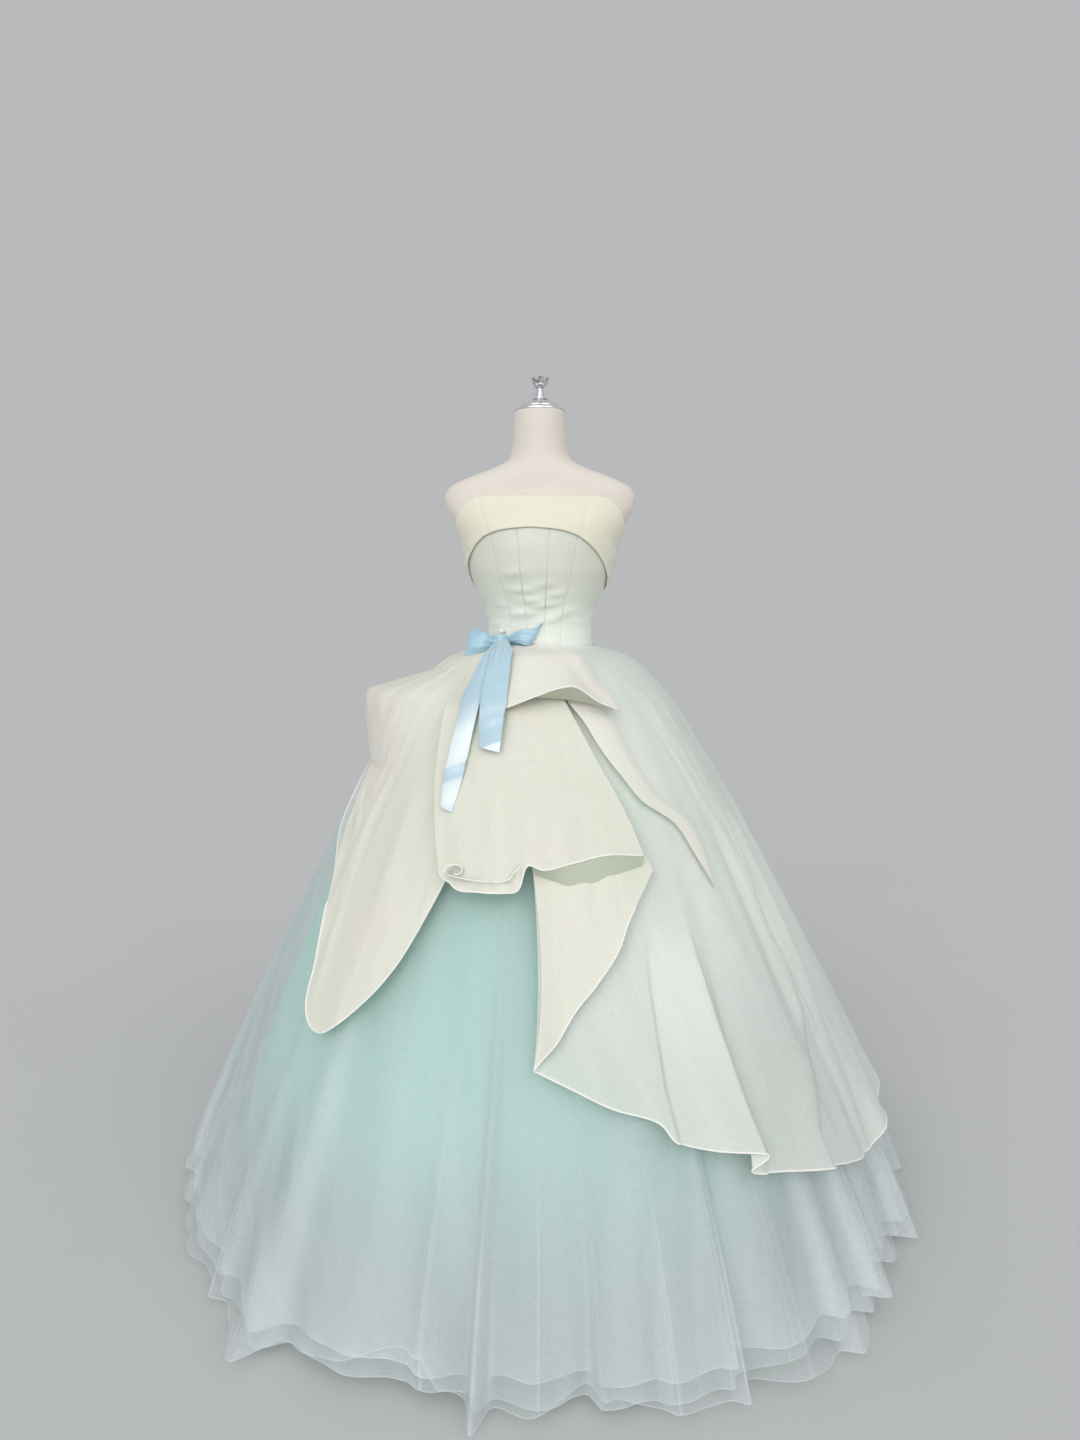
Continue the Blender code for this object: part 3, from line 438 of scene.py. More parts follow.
def form_point(degrees, height, out):
    """A point this far off the dress form, square to it."""
    on_form = section_point(FORM_SECTIONS, degrees, height)
    return on_form + outward(FORM_SECTIONS, degrees, height) * np.asarray(out)[..., None]


def cuff_column(degrees, column):
    """Reads a column of the cuff's table by the angle from the centre front, as read() reads heights."""
    turn = CUFF_LOW_TURN if column == 2 else 0.0
    around = np.abs((np.asarray(degrees, float) - turn + 180) % 360 - 180)
    return read(CUFF_SECTIONS[::-1], column, around)


def bodice_face(height):
    """How far the bodice's outer face lies off the form: its wall and ease, more above the bust."""
    eased = BODICE_EASE * ease((height - BODICE_EASE_FROM) / BODICE_EASE_OVER)
    return BODICE_CLEAR + BODICE_WALL + eased


def bell_creases(table, degrees, height):
    """The sum of long soft bells, each a Gaussian along a slanting line times one across it."""
    made = np.zeros(np.broadcast(degrees, height).shape)
    for middle, level, half_length, half_width, depth, slant in table:
        along = degrees - middle
        across = height - level - slant * along
        made += depth * bell(along, half_length) * bell(across, half_width)
    return made


def woven(tree, shader, thread, strength, crumple, slub=0.0, crumple_scale=12.0):
    """Bump of crossed threads, which is the sum of two sines a thread apart along the piece's own map.

    A slub is long noise along the weft, and a crumple is wide noise of this scale per metre.
    """
    where = add_node(tree, "ShaderNodeUVMap").outputs["UV"]
    per_metre = 2 * math.pi / (20 * thread)
    heights = []
    for direction in ("X", "Y"):
        wave = add_node(tree, "ShaderNodeTexWave", Vector=where, Scale=per_metre)
        wave.bands_direction = direction
        heights.append(wave.outputs["Fac"])
    total = add_node(tree, "ShaderNodeMath", i0=heights[0], i1=heights[1])
    bumped(tree, shader, total.outputs["Value"], strength, thread / 3)
    if slub:
        stretched = add_node(tree, "ShaderNodeMapping", Vector=where, Scale=(14.0, 420.0, 1.0))
        long_noise = add_node(tree, "ShaderNodeTexNoise", Vector=stretched.outputs["Vector"], Scale=1.0)
        bumped(tree, shader, long_noise.outputs["Fac"], slub, SLUB_DEEP)
    wide = add_node(
        tree, "ShaderNodeTexNoise", Vector=where, Scale=crumple_scale, Detail=3.0, Roughness=0.45
    )
    bumped(tree, shader, wide.outputs["Fac"], crumple, CRUMPLE_DEEP)


def mikado(name, colour):
    """Heavy silk satin: a soft broad shine, a fine twill and a slight slub along the weft."""
    made, tree, shader = new_material(
        name, colour, 0.42, Sheen_Weight=0.20, Sheen_Roughness=0.4, Specular_IOR_Level=0.35
    )
    mottled(tree, shader, colour, 14.0, 0.02)
    woven(tree, shader, THREAD, 0.10, slub=0.16, crumple=0.05)
    return made, tree, shader


def own_value(tree, name):
    """The output of the value of this name that the piece holds at each of its points."""
    made = add_node(tree, "ShaderNodeAttribute")
    made.attribute_name = name
    return made.outputs["Fac"]


def tinted(tree, shader, value, colour):
    """Mixes the base colour to another one, by the share that this value of the piece gives."""
    share = own_value(tree, value)
    mix = tree.nodes.new("ShaderNodeMix")
    mix.data_type = "RGBA"
    tree.links.new(share, mix.inputs["Factor"])
    tree.links.new(shader.inputs["Base Color"].links[0].from_socket, mix.inputs[6])
    mix.inputs[7].default_value = (*colour, 1.0)
    tree.links.new(mix.outputs[2], shader.inputs["Base Color"])


def seam_dip(across, width_m):
    """The groove at a panel's two edges: a Gaussian of the distance to the nearer edge."""
    return bell(np.minimum(across, 1 - across) * width_m, SEAM_WIDTH)


def bodice_painted_light(height):
    """How much painted light pales the bodice's satin here: a smooth step down from where it starts."""
    return ease((PAINTED_LIGHT_FROM - height) / PAINTED_LIGHT_OVER)


bodice_satin, bodice_tree, bodice_shader = mikado("bodice_mikado", dyed(217, 220, 207))
# painted light: towards the waist the satin is painted paler
tinted(bodice_tree, bodice_shader, "painted_light_below", dyed(240, 244, 234))


def bodice_panel(name, seams, cut):
    """One panel between two seams, each given as (degrees at the waist, degrees at the top)."""
    (left_low, left_top), (right_low, right_top) = seams
    columns = max(14, round((right_top - left_top) / PANEL_COLUMN_DEG))
    near_edge = SEAM_COLUMNS / cut[0]
    across = np.sort(np.concatenate([np.linspace(0, 1, columns + 1), near_edge, 1 - near_edge]))[None, :]
    down = np.linspace(0, 1, PANEL_ROWS + 1)[:, None]
    top = cuff_column(between(left_top, right_top, across), 1) - PANEL_TOP_DROP
    heights = between(top, BODICE_BOTTOM, down)
    degrees = between(between(left_top, left_low, down), between(right_top, right_low, down), across)
    width = np.linalg.norm(np.diff(form_point(degrees, heights, 0 * degrees), axis=1), axis=2).sum(axis=1)
    dip = seam_dip(across, width[:, None])
    outs = bodice_face(heights) + PANEL_CROWN * 4 * across * (1 - across) - SEAM_DEPTH * dip
    outs = outs + bell_creases(BODICE_CREASES, degrees, heights) * (1 - CREASE_SEAM_HOLD * dip)
    piece = make_piece(
        f"{name}_satin", form_point(degrees, heights, outs), bodice_satin, [name],
        wall=BODICE_WALL / 2, values={"painted_light_below": bodice_painted_light(heights)},
    )


BODICE_CUTS = {  # width, length and area that each panel is cut to
    "centre_front": (0.080, 0.320, 0.0175), "front": (0.074, 0.320, 0.0158),
    "side_front": (0.125, 0.320, 0.0310), "side_back": (0.110, 0.250, 0.0230),
    "back": (0.114, 0.238, 0.0212),
}
_, low, top = BODICE_SEAMS[0]
bodice_panel(
    "bodice_centre_front",
    ((BODICE_TURN - low, BODICE_TURN - top), (BODICE_TURN + low, BODICE_TURN + top)),
    BODICE_CUTS["centre_front"],
)
for inner, outer in zip(BODICE_SEAMS[:-1], BODICE_SEAMS[1:]):
    for side_name, sign in (("right", 1), ("left", -1)):
        seams = [(BODICE_TURN + sign * s[1], BODICE_TURN + sign * s[2]) for s in (inner, outer)]
        bodice_panel(f"bodice_{outer[0]}_{side_name}", seams[::sign], BODICE_CUTS[outer[0]])

# ---------------------------------------------------------------- back zip
# A lapped placket of the same satin hides the zip down the centre back. It is a narrow strip, edge
# stitched on both sides, with a small chromed pull at its top.
ZIP_HALF_DEG = 2.2
ZIP_TOP, ZIP_BOTTOM = 1.270, 1.073
ZIP_OFF = 0.0016
ZIP_COLUMNS, ZIP_ROWS = 15, 90
LAP_RISE = 0.0005
STITCH_DEPTH, STITCH_AT, STITCH_WIDTH = 0.0003, 0.75, 0.12  # the last two in half widths
PLACKET_WALL = 0.0007
PULL_DROP, PULL_OFF = 0.012, 0.0020
PULL_SIZE = (0.0035, 0.0011, 0.0085)
across = np.linspace(-1, 1, ZIP_COLUMNS)[None, :]
heights = np.linspace(ZIP_TOP, ZIP_BOTTOM, ZIP_ROWS)[:, None] + 0 * across
stitched = bell(np.abs(across) - STITCH_AT, STITCH_WIDTH)
lap = LAP_RISE * (1 - across**4) - STITCH_DEPTH * stitched
zip_degrees = 180 + BODICE_TURN + ZIP_HALF_DEG * across + 0 * heights
placket = make_piece(
    "zip_placket_satin", form_point(zip_degrees, heights, bodice_face(heights) + ZIP_OFF + lap),
    bodice_satin, ["zip_placket"], wall=PLACKET_WALL, values={"painted_light_below": bodice_painted_light(heights)},
)


def turned_round(points, degrees):
    """Points turned about the vertical axis: x and y times the sine and cosine of the angle."""
    cosine, sine = math.cos(math.radians(degrees)), math.sin(math.radians(degrees))
    return points @ np.array([(cosine, sine, 0), (-sine, cosine, 0), (0, 0, 1)])


def rounded_block(centre, half_size, turn_deg, rows=14, columns=20, power=0.45):
    """A soft-cornered block: a sphere whose sines and cosines are raised to a power below 1."""
    down = np.linspace(0, np.pi, rows)[:, None]
    around = np.linspace(0, 2 * np.pi, columns, endpoint=False)[None, :]

    def shaped(x):
        return np.sign(x) * np.abs(x) ** power

    local = np.stack([
        half_size[0] * shaped(np.sin(down)) * shaped(np.sin(around)),
        -half_size[1] * shaped(np.sin(down)) * shaped(np.cos(around)),
        half_size[2] * shaped(np.cos(down)) + 0 * around,
    ], axis=-1)
    return np.asarray(centre) + turned_round(local, turn_deg)


pull_centre = form_point(
    180 + BODICE_TURN, ZIP_TOP - PULL_DROP, bodice_face(ZIP_TOP) + ZIP_OFF + PULL_OFF
)
close_poles(make_piece(
    "zip_pull", rounded_block(pull_centre, PULL_SIZE, 180 + BODICE_TURN), chrome, ring=True
))

# ---------------------------------------------------------------- cuff
# A deep band of cream mikado folds over the bodice's top edge and stands off it towards its lower
# edge, which is turned under. It is three pieces joined at the sides and near the centre back.
CUFF_CLEAR, CUFF_WALL = 0.0010, 0.0016
CUFF_FLARE_POWER = 0.7
CUFF_SEAM_GAP = 0.0006
TOP_ROLL = 0.0022  # radius of the fold over the top edge
UNDER_ROLL = 0.0015  # radius of the turned lower edge
TURN_UNDER, UNDER_SLANT = 0.014, 0.0004  # how deep the edge is turned under, and how far it closes in
CUFF_FACE_ROWS = 36
CUFF_COLUMN_DEG = 1.5
CUFF_PARTS = [  # name, start and end in degrees, width, depth and area that it is cut to
    ("front", -84.0, 84.0, 0.450, 0.150, 0.0510),
    ("back_right", 84.0, 175.0, 0.205, 0.150, 0.0275),
    ("back_left", 175.0, 276.0, 0.230, 0.150, 0.0305),
]
# degrees, height, half length in degrees, half width, depth, slant in height per degree
CUFF_CREASES = [
    (4.0, 1.344, 10.0, 0.004, 0.0016, 0.00045), (20.0, 1.330, 16.0, 0.006, 0.0014, 0.00025),
    (-18.0, 1.312, 14.0, 0.008, 0.0012, -0.00010), (-60.0, 1.262, 10.0, 0.007, 0.0026, 0.0012),
    (62.0, 1.258, 10.0, 0.007, 0.0026, -0.0014), (80.0, 1.236, 14.0, 0.010, 0.0048, -0.0008),
    (-80.0, 1.226, 14.0, 0.009, 0.0044, 0.0008), (82.0, 1.196, 14.0, 0.009, 0.0040, -0.0004),
    (-84.0, 1.192, 14.0, 0.009, 0.0036, 0.0004), (120.0, 1.222, 14.0, 0.008, 0.0018, 0.0004),
    (205.0, 1.228, 14.0, 0.008, 0.0018, -0.0004), (240.0, 1.220, 12.0, 0.008, 0.0020, 0.0004),
]
CUFF_TUCKS = [(-38.0, 1.6, 0.0011), (30.0, 1.8, 0.0010)]  # degrees, half width, depth of a pressed line


def level_way(degrees):
    """The level direction outwards at this angle: its sine and minus its cosine."""
    angle = np.radians(degrees)
    return np.stack([np.sin(angle), -np.cos(angle), 0 * angle], axis=-1)


cuff_satin = mikado("cuff_mikado", dyed(234, 229, 209))[0]
for name, start, end, cut_width, cut_depth, cut_area in CUFF_PARTS:
    degrees = np.linspace(start, end, round((end - start) / CUFF_COLUMN_DEG) + 1)[None, :]
    top, low, flare = (cuff_column(degrees, column) for column in (1, 2, 3))
    face = CUFF_CLEAR + CUFF_WALL + 0 * degrees
    over = np.radians(np.array([-90, -60, -30, 0, 30, 60]))[:, None]
    down = np.linspace(0, 1, CUFF_FACE_ROWS)[:, None]
    under = np.radians(np.array([30, 60, 90, 120, 150, 180]))[:, None]
    back_up = np.linspace(0, 1, 6)[1:, None]
    front_out = face + flare * down**CUFF_FLARE_POWER
    heights = np.concatenate([
        top + TOP_ROLL * np.cos(over) - TOP_ROLL,
        between(top - TOP_ROLL, low + UNDER_ROLL, down),
        low + UNDER_ROLL - UNDER_ROLL * np.sin(under),
        low + UNDER_ROLL + TURN_UNDER * back_up,
    ])
    lower_out = face + flare
    outs = np.concatenate([
        face - TOP_ROLL + TOP_ROLL * np.sin(over) + 0 * degrees,
        front_out,
        lower_out - UNDER_ROLL + UNDER_ROLL * np.cos(under),
        lower_out - 2 * UNDER_ROLL - UNDER_SLANT * back_up + 0 * degrees,
    ])
    across = degrees + 0 * heights
    facing = np.repeat([0.0, 1.0, 1.0, 0.0], [len(over), len(down), len(under), len(back_up)])
    folds = bell_creases(CUFF_CREASES, across, heights)
    for middle, half_width, depth in CUFF_TUCKS:
        folds = folds - depth * bell(across - middle, half_width)
    outs = bodice_face(np.minimum(heights, top)) + outs + folds * facing[:, None]
    # the seams' edges stay a little apart, along the band
    inset = np.zeros(across.shape)
    inset[:, 0], inset[:, -1] = CUFF_SEAM_GAP, -CUFF_SEAM_GAP
    shift = level_way(across + 90) * inset[..., None]
    piece = make_piece(
        f"cuff_{name}_satin", form_point(across, heights, outs) + shift, cuff_satin,
        [f"cuff_{name}"], wall=CUFF_WALL / 2,
    )

# ---------------------------------------------------------------- lining
# An underskirt of thin mint satin hangs from the waist seam in five gores. It falls in wide soft
# flutes well inside the tulle, and its weave opens until it is almost clear at the hem.
WAIST = 1.055
ROW_POWER = 1.25  # how much closer together the rows are at the waist
# height, half width, front reach, back reach in the valleys between the folds
SKIRT_SECTIONS = np.array([
    (1.0550, 0.1096, 0.0906, 0.0836), (1.0500, 0.1250, 0.1100, 0.1040),
    (1.0430, 0.1470, 0.1360, 0.1310), (1.0300, 0.1740, 0.1660, 0.1620),
    (1.0100, 0.2010, 0.1940, 0.1900), (0.9850, 0.2260, 0.2200, 0.2160),
    (0.9500, 0.2560, 0.2500, 0.2460), (0.9000, 0.2900, 0.2880, 0.2830),
    (0.8300, 0.3330, 0.3370, 0.3280), (0.7500, 0.3760, 0.3870, 0.3720),
    (0.6500, 0.4250, 0.4460, 0.4210), (0.5200, 0.4870, 0.5240, 0.4840),
    (0.3800, 0.5500, 0.6040, 0.5480), (0.2500, 0.6030, 0.6740, 0.6010),
    (0.1200, 0.6540, 0.7340, 0.6520), (0.0040, 0.6900, 0.7700, 0.6880),
])
LEVEL_BELOW, LEVEL_OVER = 0.85, 0.17
LINING_HEM = 0.050
LINING_INSET = 0.016  # hangs this far inside the tulle's valleys, away from the waist
LINING_DRAW = 0.022  # and this much more at its hem
LINING_FLUTES = 22
LINING_THINS_BELOW, LINING_FOOT_COVER = 0.32, 0.10  # the weave opens towards the hem
LINING_FLUTE_DEPTH = 0.011
LINING_ROWS = 44
LINING_COLUMN_DEG = 1.5
# name, start and end in degrees, width, length and area that it is cut to
LINING_GORES = [
    ("front", -90.0, 90.0, 2.15, 1.20, 1.500), ("side_right", 90.0, 135.0, 0.53, 1.16, 0.350),
    ("back_right", 135.0, 180.0, 0.53, 1.16, 0.350), ("back_left", 180.0, 225.0, 0.53, 1.16, 0.350),
    ("side_left", 225.0, 270.0, 0.53, 1.16, 0.350),
]


def skirt_point(degrees, height, out):
    """A point this far off the skirt's valleys: squarely off the gathers, level lower down."""
    on_skirt = section_point(SKIRT_SECTIONS, degrees, height)
    direction = outward(SKIRT_SECTIONS, degrees, height)
    direction[..., 2] *= ease((on_skirt[..., 2] - LEVEL_BELOW) / LEVEL_OVER)
    direction /= np.linalg.norm(direction, axis=-1, keepdims=True)
    return on_skirt + direction * np.asarray(out)[..., None]


def uneven_waves(degrees, height, count, drift, seed):
    """Waves from -1 to 1 round the skirt: sines near this count, whose phases wander with height."""
    draw = np.random.default_rng(seed)
    made = np.zeros(np.broadcast(degrees, height).shape)
    angle = np.radians(degrees)
    for share, spread in ((0.55, 0), (0.30, 5), (0.15, -7)):
        phase, wander, slip = draw.uniform(0, 2 * np.pi, 3)
        bent = 1.6 * np.sin(3 * angle + wander) + drift * np.sin(4.0 * height + 2 * angle + slip)
        made += share * np.sin((count + spread) * angle + bent + phase)
    return made


def skirt_heights(hem, rows):
    """Rows from the waist to the hem, closer together where the gathers turn down."""
    return WAIST - (WAIST - hem) * np.linspace(0, 1, rows)[:, None] ** ROW_POWER


mint = dyed(163, 237, 219)
lining_satin, lining_tree, lining_shader = new_material("mint_lining", mint, 0.50, Sheen_Weight=0.15)
mottled(lining_tree, lining_shader, mint, 5.0, 0.03)
woven(lining_tree, lining_shader, THREAD, 0.06, crumple=0.10, crumple_scale=5.0)
lining_tree.links.new(own_value(lining_tree, "cover"), lining_shader.inputs["Alpha"])
for name, start, end, cut_width, cut_length, cut_area in LINING_GORES:
    degrees = np.linspace(start, end, round((end - start) / LINING_COLUMN_DEG) + 1)[None, :]
    heights = skirt_heights(LINING_HEM, LINING_ROWS)
    fallen = (WAIST - heights) / WAIST
    out = -LINING_INSET * ease(fallen / 0.15) - LINING_DRAW * fallen + 0 * degrees
    out = out - LINING_FLUTE_DEPTH * fallen * (1 + uneven_waves(degrees, heights, LINING_FLUTES, 0.5, 11))
    thinned = ease((LINING_THINS_BELOW - heights) / LINING_THINS_BELOW)
    piece = make_piece(
        f"lining_{name}_satin", skirt_point(degrees + 0 * heights, heights, out), lining_satin,
        [f"lining_{name}"], values={"cover": between(1, LINING_FOOT_COVER, thinned)},
    )

# ---------------------------------------------------------------- tulle
# Three sheer layers of soft white net are gathered into the waist over the lining. They fall in broad
# folds, each with one crisp side and small gathers of its own, and their cut hems don't line up.
LAYER_PITCH, LAYER_SPREAD = 0.0015, 0.006
# degrees, reach at the hem of each front fold
FRONT_FOLDS = [
    (-90.0, 0.026), (-79.0, 0.024), (-70.0, 0.016), (-61.0, 0.018), (-47.5, 0.035), (-35.0, 0.095),
    (-23.0, 0.060), (-14.0, 0.038), (-7.0, 0.078), (0.0, 0.050), (7.0, 0.060), (14.5, 0.073),
    (22.0, 0.084), (30.0, 0.095), (37.5, 0.106), (45.0, 0.104), (54.0, 0.046), (62.0, 0.064),
    (71.0, 0.036), (80.0, 0.034), (90.0, 0.026),
]
BACK_FOLDS = 16
BACK_FOLD_REACH, BACK_FOLD_SWING = 0.036, 0.012
VALLEY_DEPTH = 0.055
FOLD_GROWTH = 1.6
FOLD_VALLEY = 0.78  # share of the way from a fold's soft side to its crisp one
SINK_GROWTH = 1.6  # the folds sink as a further power of the way down
# which side of each front fold is crisp (1 the right, -1 the left), and what share it sinks
FRONT_SIDES = np.array([-1, -1, -1, 1, -1, -1, 1, 1, -1, 1, 1, 1, -1, 1, 1, 1, 1, -1, 1, 1])
FRONT_SINKS = np.array([
    0.9, 1.0, 0.8, 0.9, 0.7, 1.0, 0.55, 1.0, 0.9, 1.0, 0.35, 0.25, 0.9, 0.7, 1.0, 1.0, 0.8, 0.5, 1.0, 1.0,
])
TULLE_ROWS = 50
# columns of each fold, as shares of the way to its crisp side
FOLD_COLUMNS = np.array([
    0.0, 0.015, 0.07, 0.14, 0.21, 0.28, 0.35, 0.42, 0.49, 0.56, 0.63, 0.70, 0.76, 0.81, 0.85, 0.885, 0.915,
    0.945, 0.97, 0.985,
])
HEM_EDGE = 0.0022  # depth of the cut edge, where the net doubles
EDGE_COVER = 0.20  # more cover along a crisp fold
EDGE_WIDTH = 0.018  # of that line, as a share of the fold
UNDER_FOLDS = 0.60  # share of the outer layer's folds that the under layer has
CLOSE_GATHERS = 0.0006  # reach of the finest gathers, at twice the small ones' number
HEM_COVER = 0.25  # and along a cut hem
# name, place between the under (0) and the outer layer (1), hem height, its waves' height, small
# gathers round the skirt, their reach at the hem, how much one layer covers at the waist and at the
# hem, seed
TULLE_LAYERS = [
    ("tulle_under", 0.00, 0.006, 0.014, 46, 0.0030, 0.17, 0.34, 3),
    ("tulle_middle", 0.48, 0.040, 0.016, 58, 0.0030, 0.17, 0.44, 5),
    ("tulle_outer", 1.00, 0.006, 0.016, 50, 0.0055, 0.17, 0.22, 8),
]
# how far the outer layer's hem is caught up, by degrees round the front
OUTER_LIFTS = np.array([
    (-60.0, 0.0), (-37.0, 0.0), (-30.0, 0.026), (-20.0, 0.046), (-13.5, 0.052), (-11.5, 0.012), (-6.0, 0.0),
    (2.0, 0.018), (8.0, 0.030), (13.0, 0.004), (24.0, 0.0), (30.0, 0.010), (36.0, 0.0), (46.0, 0.034),
    (52.0, 0.010), (62.0, 0.0),
])
COVER_POWER = 2.0  # the cover grows as this power of the way down
SKIRT_PARTS = [  # name, start and end in degrees, width, length and area that each layer is cut to
    ("front", -90.0, 90.0, 3.30, 1.20, 2.05), ("back_right", 90.0, 180.0, 1.50, 1.16, 0.93),
    ("back_left", 180.0, 270.0, 1.50, 1.16, 0.93),
]
MOST_COVER = 0.62
MOST_PACKED = 2.2


def all_folds():
    """Every fold's angle and reach once round from -90 to 270: a listed front, an uneven back."""
    k = np.arange(1, BACK_FOLDS)
    back_degrees = 90 + 180 * k / BACK_FOLDS + 1.8 * np.sin(2.4 * k)
    back_degrees[BACK_FOLDS // 2 - 1] = 180
    back_reach = BACK_FOLD_REACH + BACK_FOLD_SWING * np.sin(1.7 * k + 0.5)
    back = list(zip(back_degrees, back_reach))
    return np.array(FRONT_FOLDS + back + [(270.0, FRONT_FOLDS[0][1])])


FOLDS = all_folds()
back_numbers = np.arange(BACK_FOLDS)
SIDES = np.concatenate([FRONT_SIDES, np.where(np.sin(2.1 * back_numbers) > 0, 1, -1)])
SINKS = np.concatenate([FRONT_SINKS, 0.75 + 0.25 * np.sin(3.3 * back_numbers)])
# how plainly each fold's crisp side shows as a line
EDGE_LINES = np.clip(0.45 + 0.9 * np.sin(4.7 * np.arange(len(SINKS)) + 1.0), 0, 1)


def crest_reach(degrees):
    """The straight line from crest to crest, which the organza rides on."""
    return np.interp((np.asarray(degrees, float) + 90) % 360 - 90, FOLDS[:, 0], FOLDS[:, 1])


def fold_place(degrees):
    """The number of the fold at this angle, and the share of the way to its crisp side."""
    around = (np.asarray(degrees, float) + 90) % 360 - 90
    i = np.clip(np.searchsorted(FOLDS[:, 0], around, side="right") - 1, 0, len(FOLDS) - 2)
    s = (around - FOLDS[i, 0]) / (FOLDS[i + 1, 0] - FOLDS[i, 0])
    return i, np.where(SIDES[i] > 0, s, 1 - s)


def fold_sink(degrees):
    """How far a fold sinks off the line of crests: a smooth step down to its valley and a quick one up."""
    i, s = fold_place(degrees)
    sunk = np.where(s < FOLD_VALLEY, ease(s / FOLD_VALLEY), ease((1 - s) / (1 - FOLD_VALLEY)))
    return np.minimum(crest_reach(degrees), VALLEY_DEPTH) * SINKS[i] * sunk


def growth(height):
    """How far the folds have deepened at this height: a power of the way down."""
    return (np.clip(WAIST - np.asarray(height, float), 0, None) / WAIST) ** FOLD_GROWTH


def tulle_columns(start, end):
    """The angles of a part's columns: each fold's own, closer together at its crisp side."""
    chosen = np.flatnonzero((FOLDS[:-1, 0] >= start) & (FOLDS[:-1, 0] < end))
    angles = []
    for i in chosen:
        shares = FOLD_COLUMNS if SIDES[i] > 0 else np.append(0.0, 1 - FOLD_COLUMNS[:0:-1])
        angles.append(between(FOLDS[i, 0], FOLDS[i + 1, 0], shares))
    return np.append(np.concatenate(angles), end)[None, :]


def covered(points, single):
    """How much sheer cloth hides: a layer seen at a slant covers more, as its steepness tells.

    It is 1 less the clear share of one layer to the power of the length of cloth per length round.
    """
    step = np.gradient(points, axis=1)
    angle = np.arctan2(points[..., 0], -points[..., 1])
    round_step = np.gradient(np.unwrap(angle, axis=1), axis=1) * np.hypot(points[..., 0], points[..., 1])
    packed = np.linalg.norm(step[..., :2], axis=-1) / np.maximum(np.abs(round_step), 1e-5)
    return np.clip(1 - (1 - single) ** np.clip(packed, 1, MOST_PACKED), 0, MOST_COVER)


def sheer(name, colour, roughness, net, streak, **looks):
    """Net of this cell size in metres that covers as the piece's own value says, unevenly by streaks.

    The cover is that value times the threads' share times long noise, from 1 - streak to 1 + streak.
    """
    made, tree, shader = new_material(name, colour, roughness, **looks)
    cover = own_value(tree, "cover")
    where = add_node(tree, "ShaderNodeUVMap").outputs["UV"]
    cells = add_node(tree, "ShaderNodeTexVoronoi", Vector=where, Scale=1 / net)
    cells.feature = "DISTANCE_TO_EDGE"
    threads = add_node(
        tree, "ShaderNodeMapRange", Value=cells.outputs["Distance"], From_Min=0.0, From_Max=0.25,
        To_Min=1.20, To_Max=0.92,
    )
    wisps = add_node(tree, "ShaderNodeMapping", Vector=where, Scale=(18.0, 1.4, 1.0))
    streaks = add_node(tree, "ShaderNodeTexNoise", Vector=wisps.outputs["Vector"], Scale=1.0, Detail=3.0)
    streak_range = add_node(
        tree, "ShaderNodeMapRange", Value=streaks.outputs["Fac"], From_Min=0.28, From_Max=0.72,
        To_Min=1 - streak, To_Max=1 + streak,
    )
    first = add_node(
        tree, "ShaderNodeMath", i0=threads.outputs["Result"], i1=streak_range.outputs["Result"]
    )
    first.operation = "MULTIPLY"
    alpha = add_node(tree, "ShaderNodeMath", i0=first.outputs["Value"], i1=cover)
    alpha.operation = "MULTIPLY"
    alpha.use_clamp = True
    tree.links.new(alpha.outputs["Value"], shader.inputs["Alpha"])
    return made, tree, shader


net_white = dyed(226, 234, 234)
tulle_net, tulle_tree, tulle_shader = sheer(
    "white_tulle", net_white, 0.85, 0.0028, 0.18, Specular_IOR_Level=0.2
)
mottled(tulle_tree, tulle_shader, net_white, 4.0, 0.015)
for layer, place, hem, hem_wave, gathers, reach, cover_high, cover_low, seed in TULLE_LAYERS:
    for name, start, end, cut_width, cut_length, cut_area in SKIRT_PARTS:
        degrees = tulle_columns(start, end)
        hems = hem + hem_wave * (0.5 + 0.5 * uneven_waves(degrees, 0 * degrees, 9, 0.0, seed + 20))
        if place == 1:
            hems = hems + np.interp(degrees, *OUTER_LIFTS.T)
        heights = skirt_heights(hems + HEM_EDGE, TULLE_ROWS)
        heights = np.concatenate([heights, hems])
        grown = growth(heights)
        fallen = (WAIST - heights) / WAIST
        folds = (crest_reach(degrees) - fold_sink(degrees) * fallen**SINK_GROWTH) * grown
        pitch = LAYER_PITCH + LAYER_SPREAD * grown
        out = between(pitch + UNDER_FOLDS * folds, 2 * pitch + folds, place)
        small = uneven_waves(degrees, heights, gathers, 0.8, seed)
        close = uneven_waves(degrees, heights, 2 * gathers, 1.0, seed + 40)
        fine = (1 + small) * reach * fallen * (0.35 + 0.65 * grown)
        fine = fine + CLOSE_GATHERS * close * ease(fallen / 0.1)
        points = skirt_point(degrees + 0 * heights, heights, out + fine)
        i, s = fold_place(degrees + 0 * heights)
        near_crest = bell(np.minimum(s, 1 - s), EDGE_WIDTH)
        line = EDGE_COVER * EDGE_LINES[i] * near_crest * ease((fallen - 0.5) / 0.45)
        line[-1] = HEM_COVER
        nodes = [f"{layer}_{name}"] if layer != "tulle_middle" else []
        thicker = between(cover_high, cover_low, fallen**COVER_POWER)
        piece = make_piece(
            f"{layer}_{name}_net", points, tulle_net, nodes,
            values={"cover": np.clip(covered(points, thicker) + line, 0, MOST_COVER)},
        )

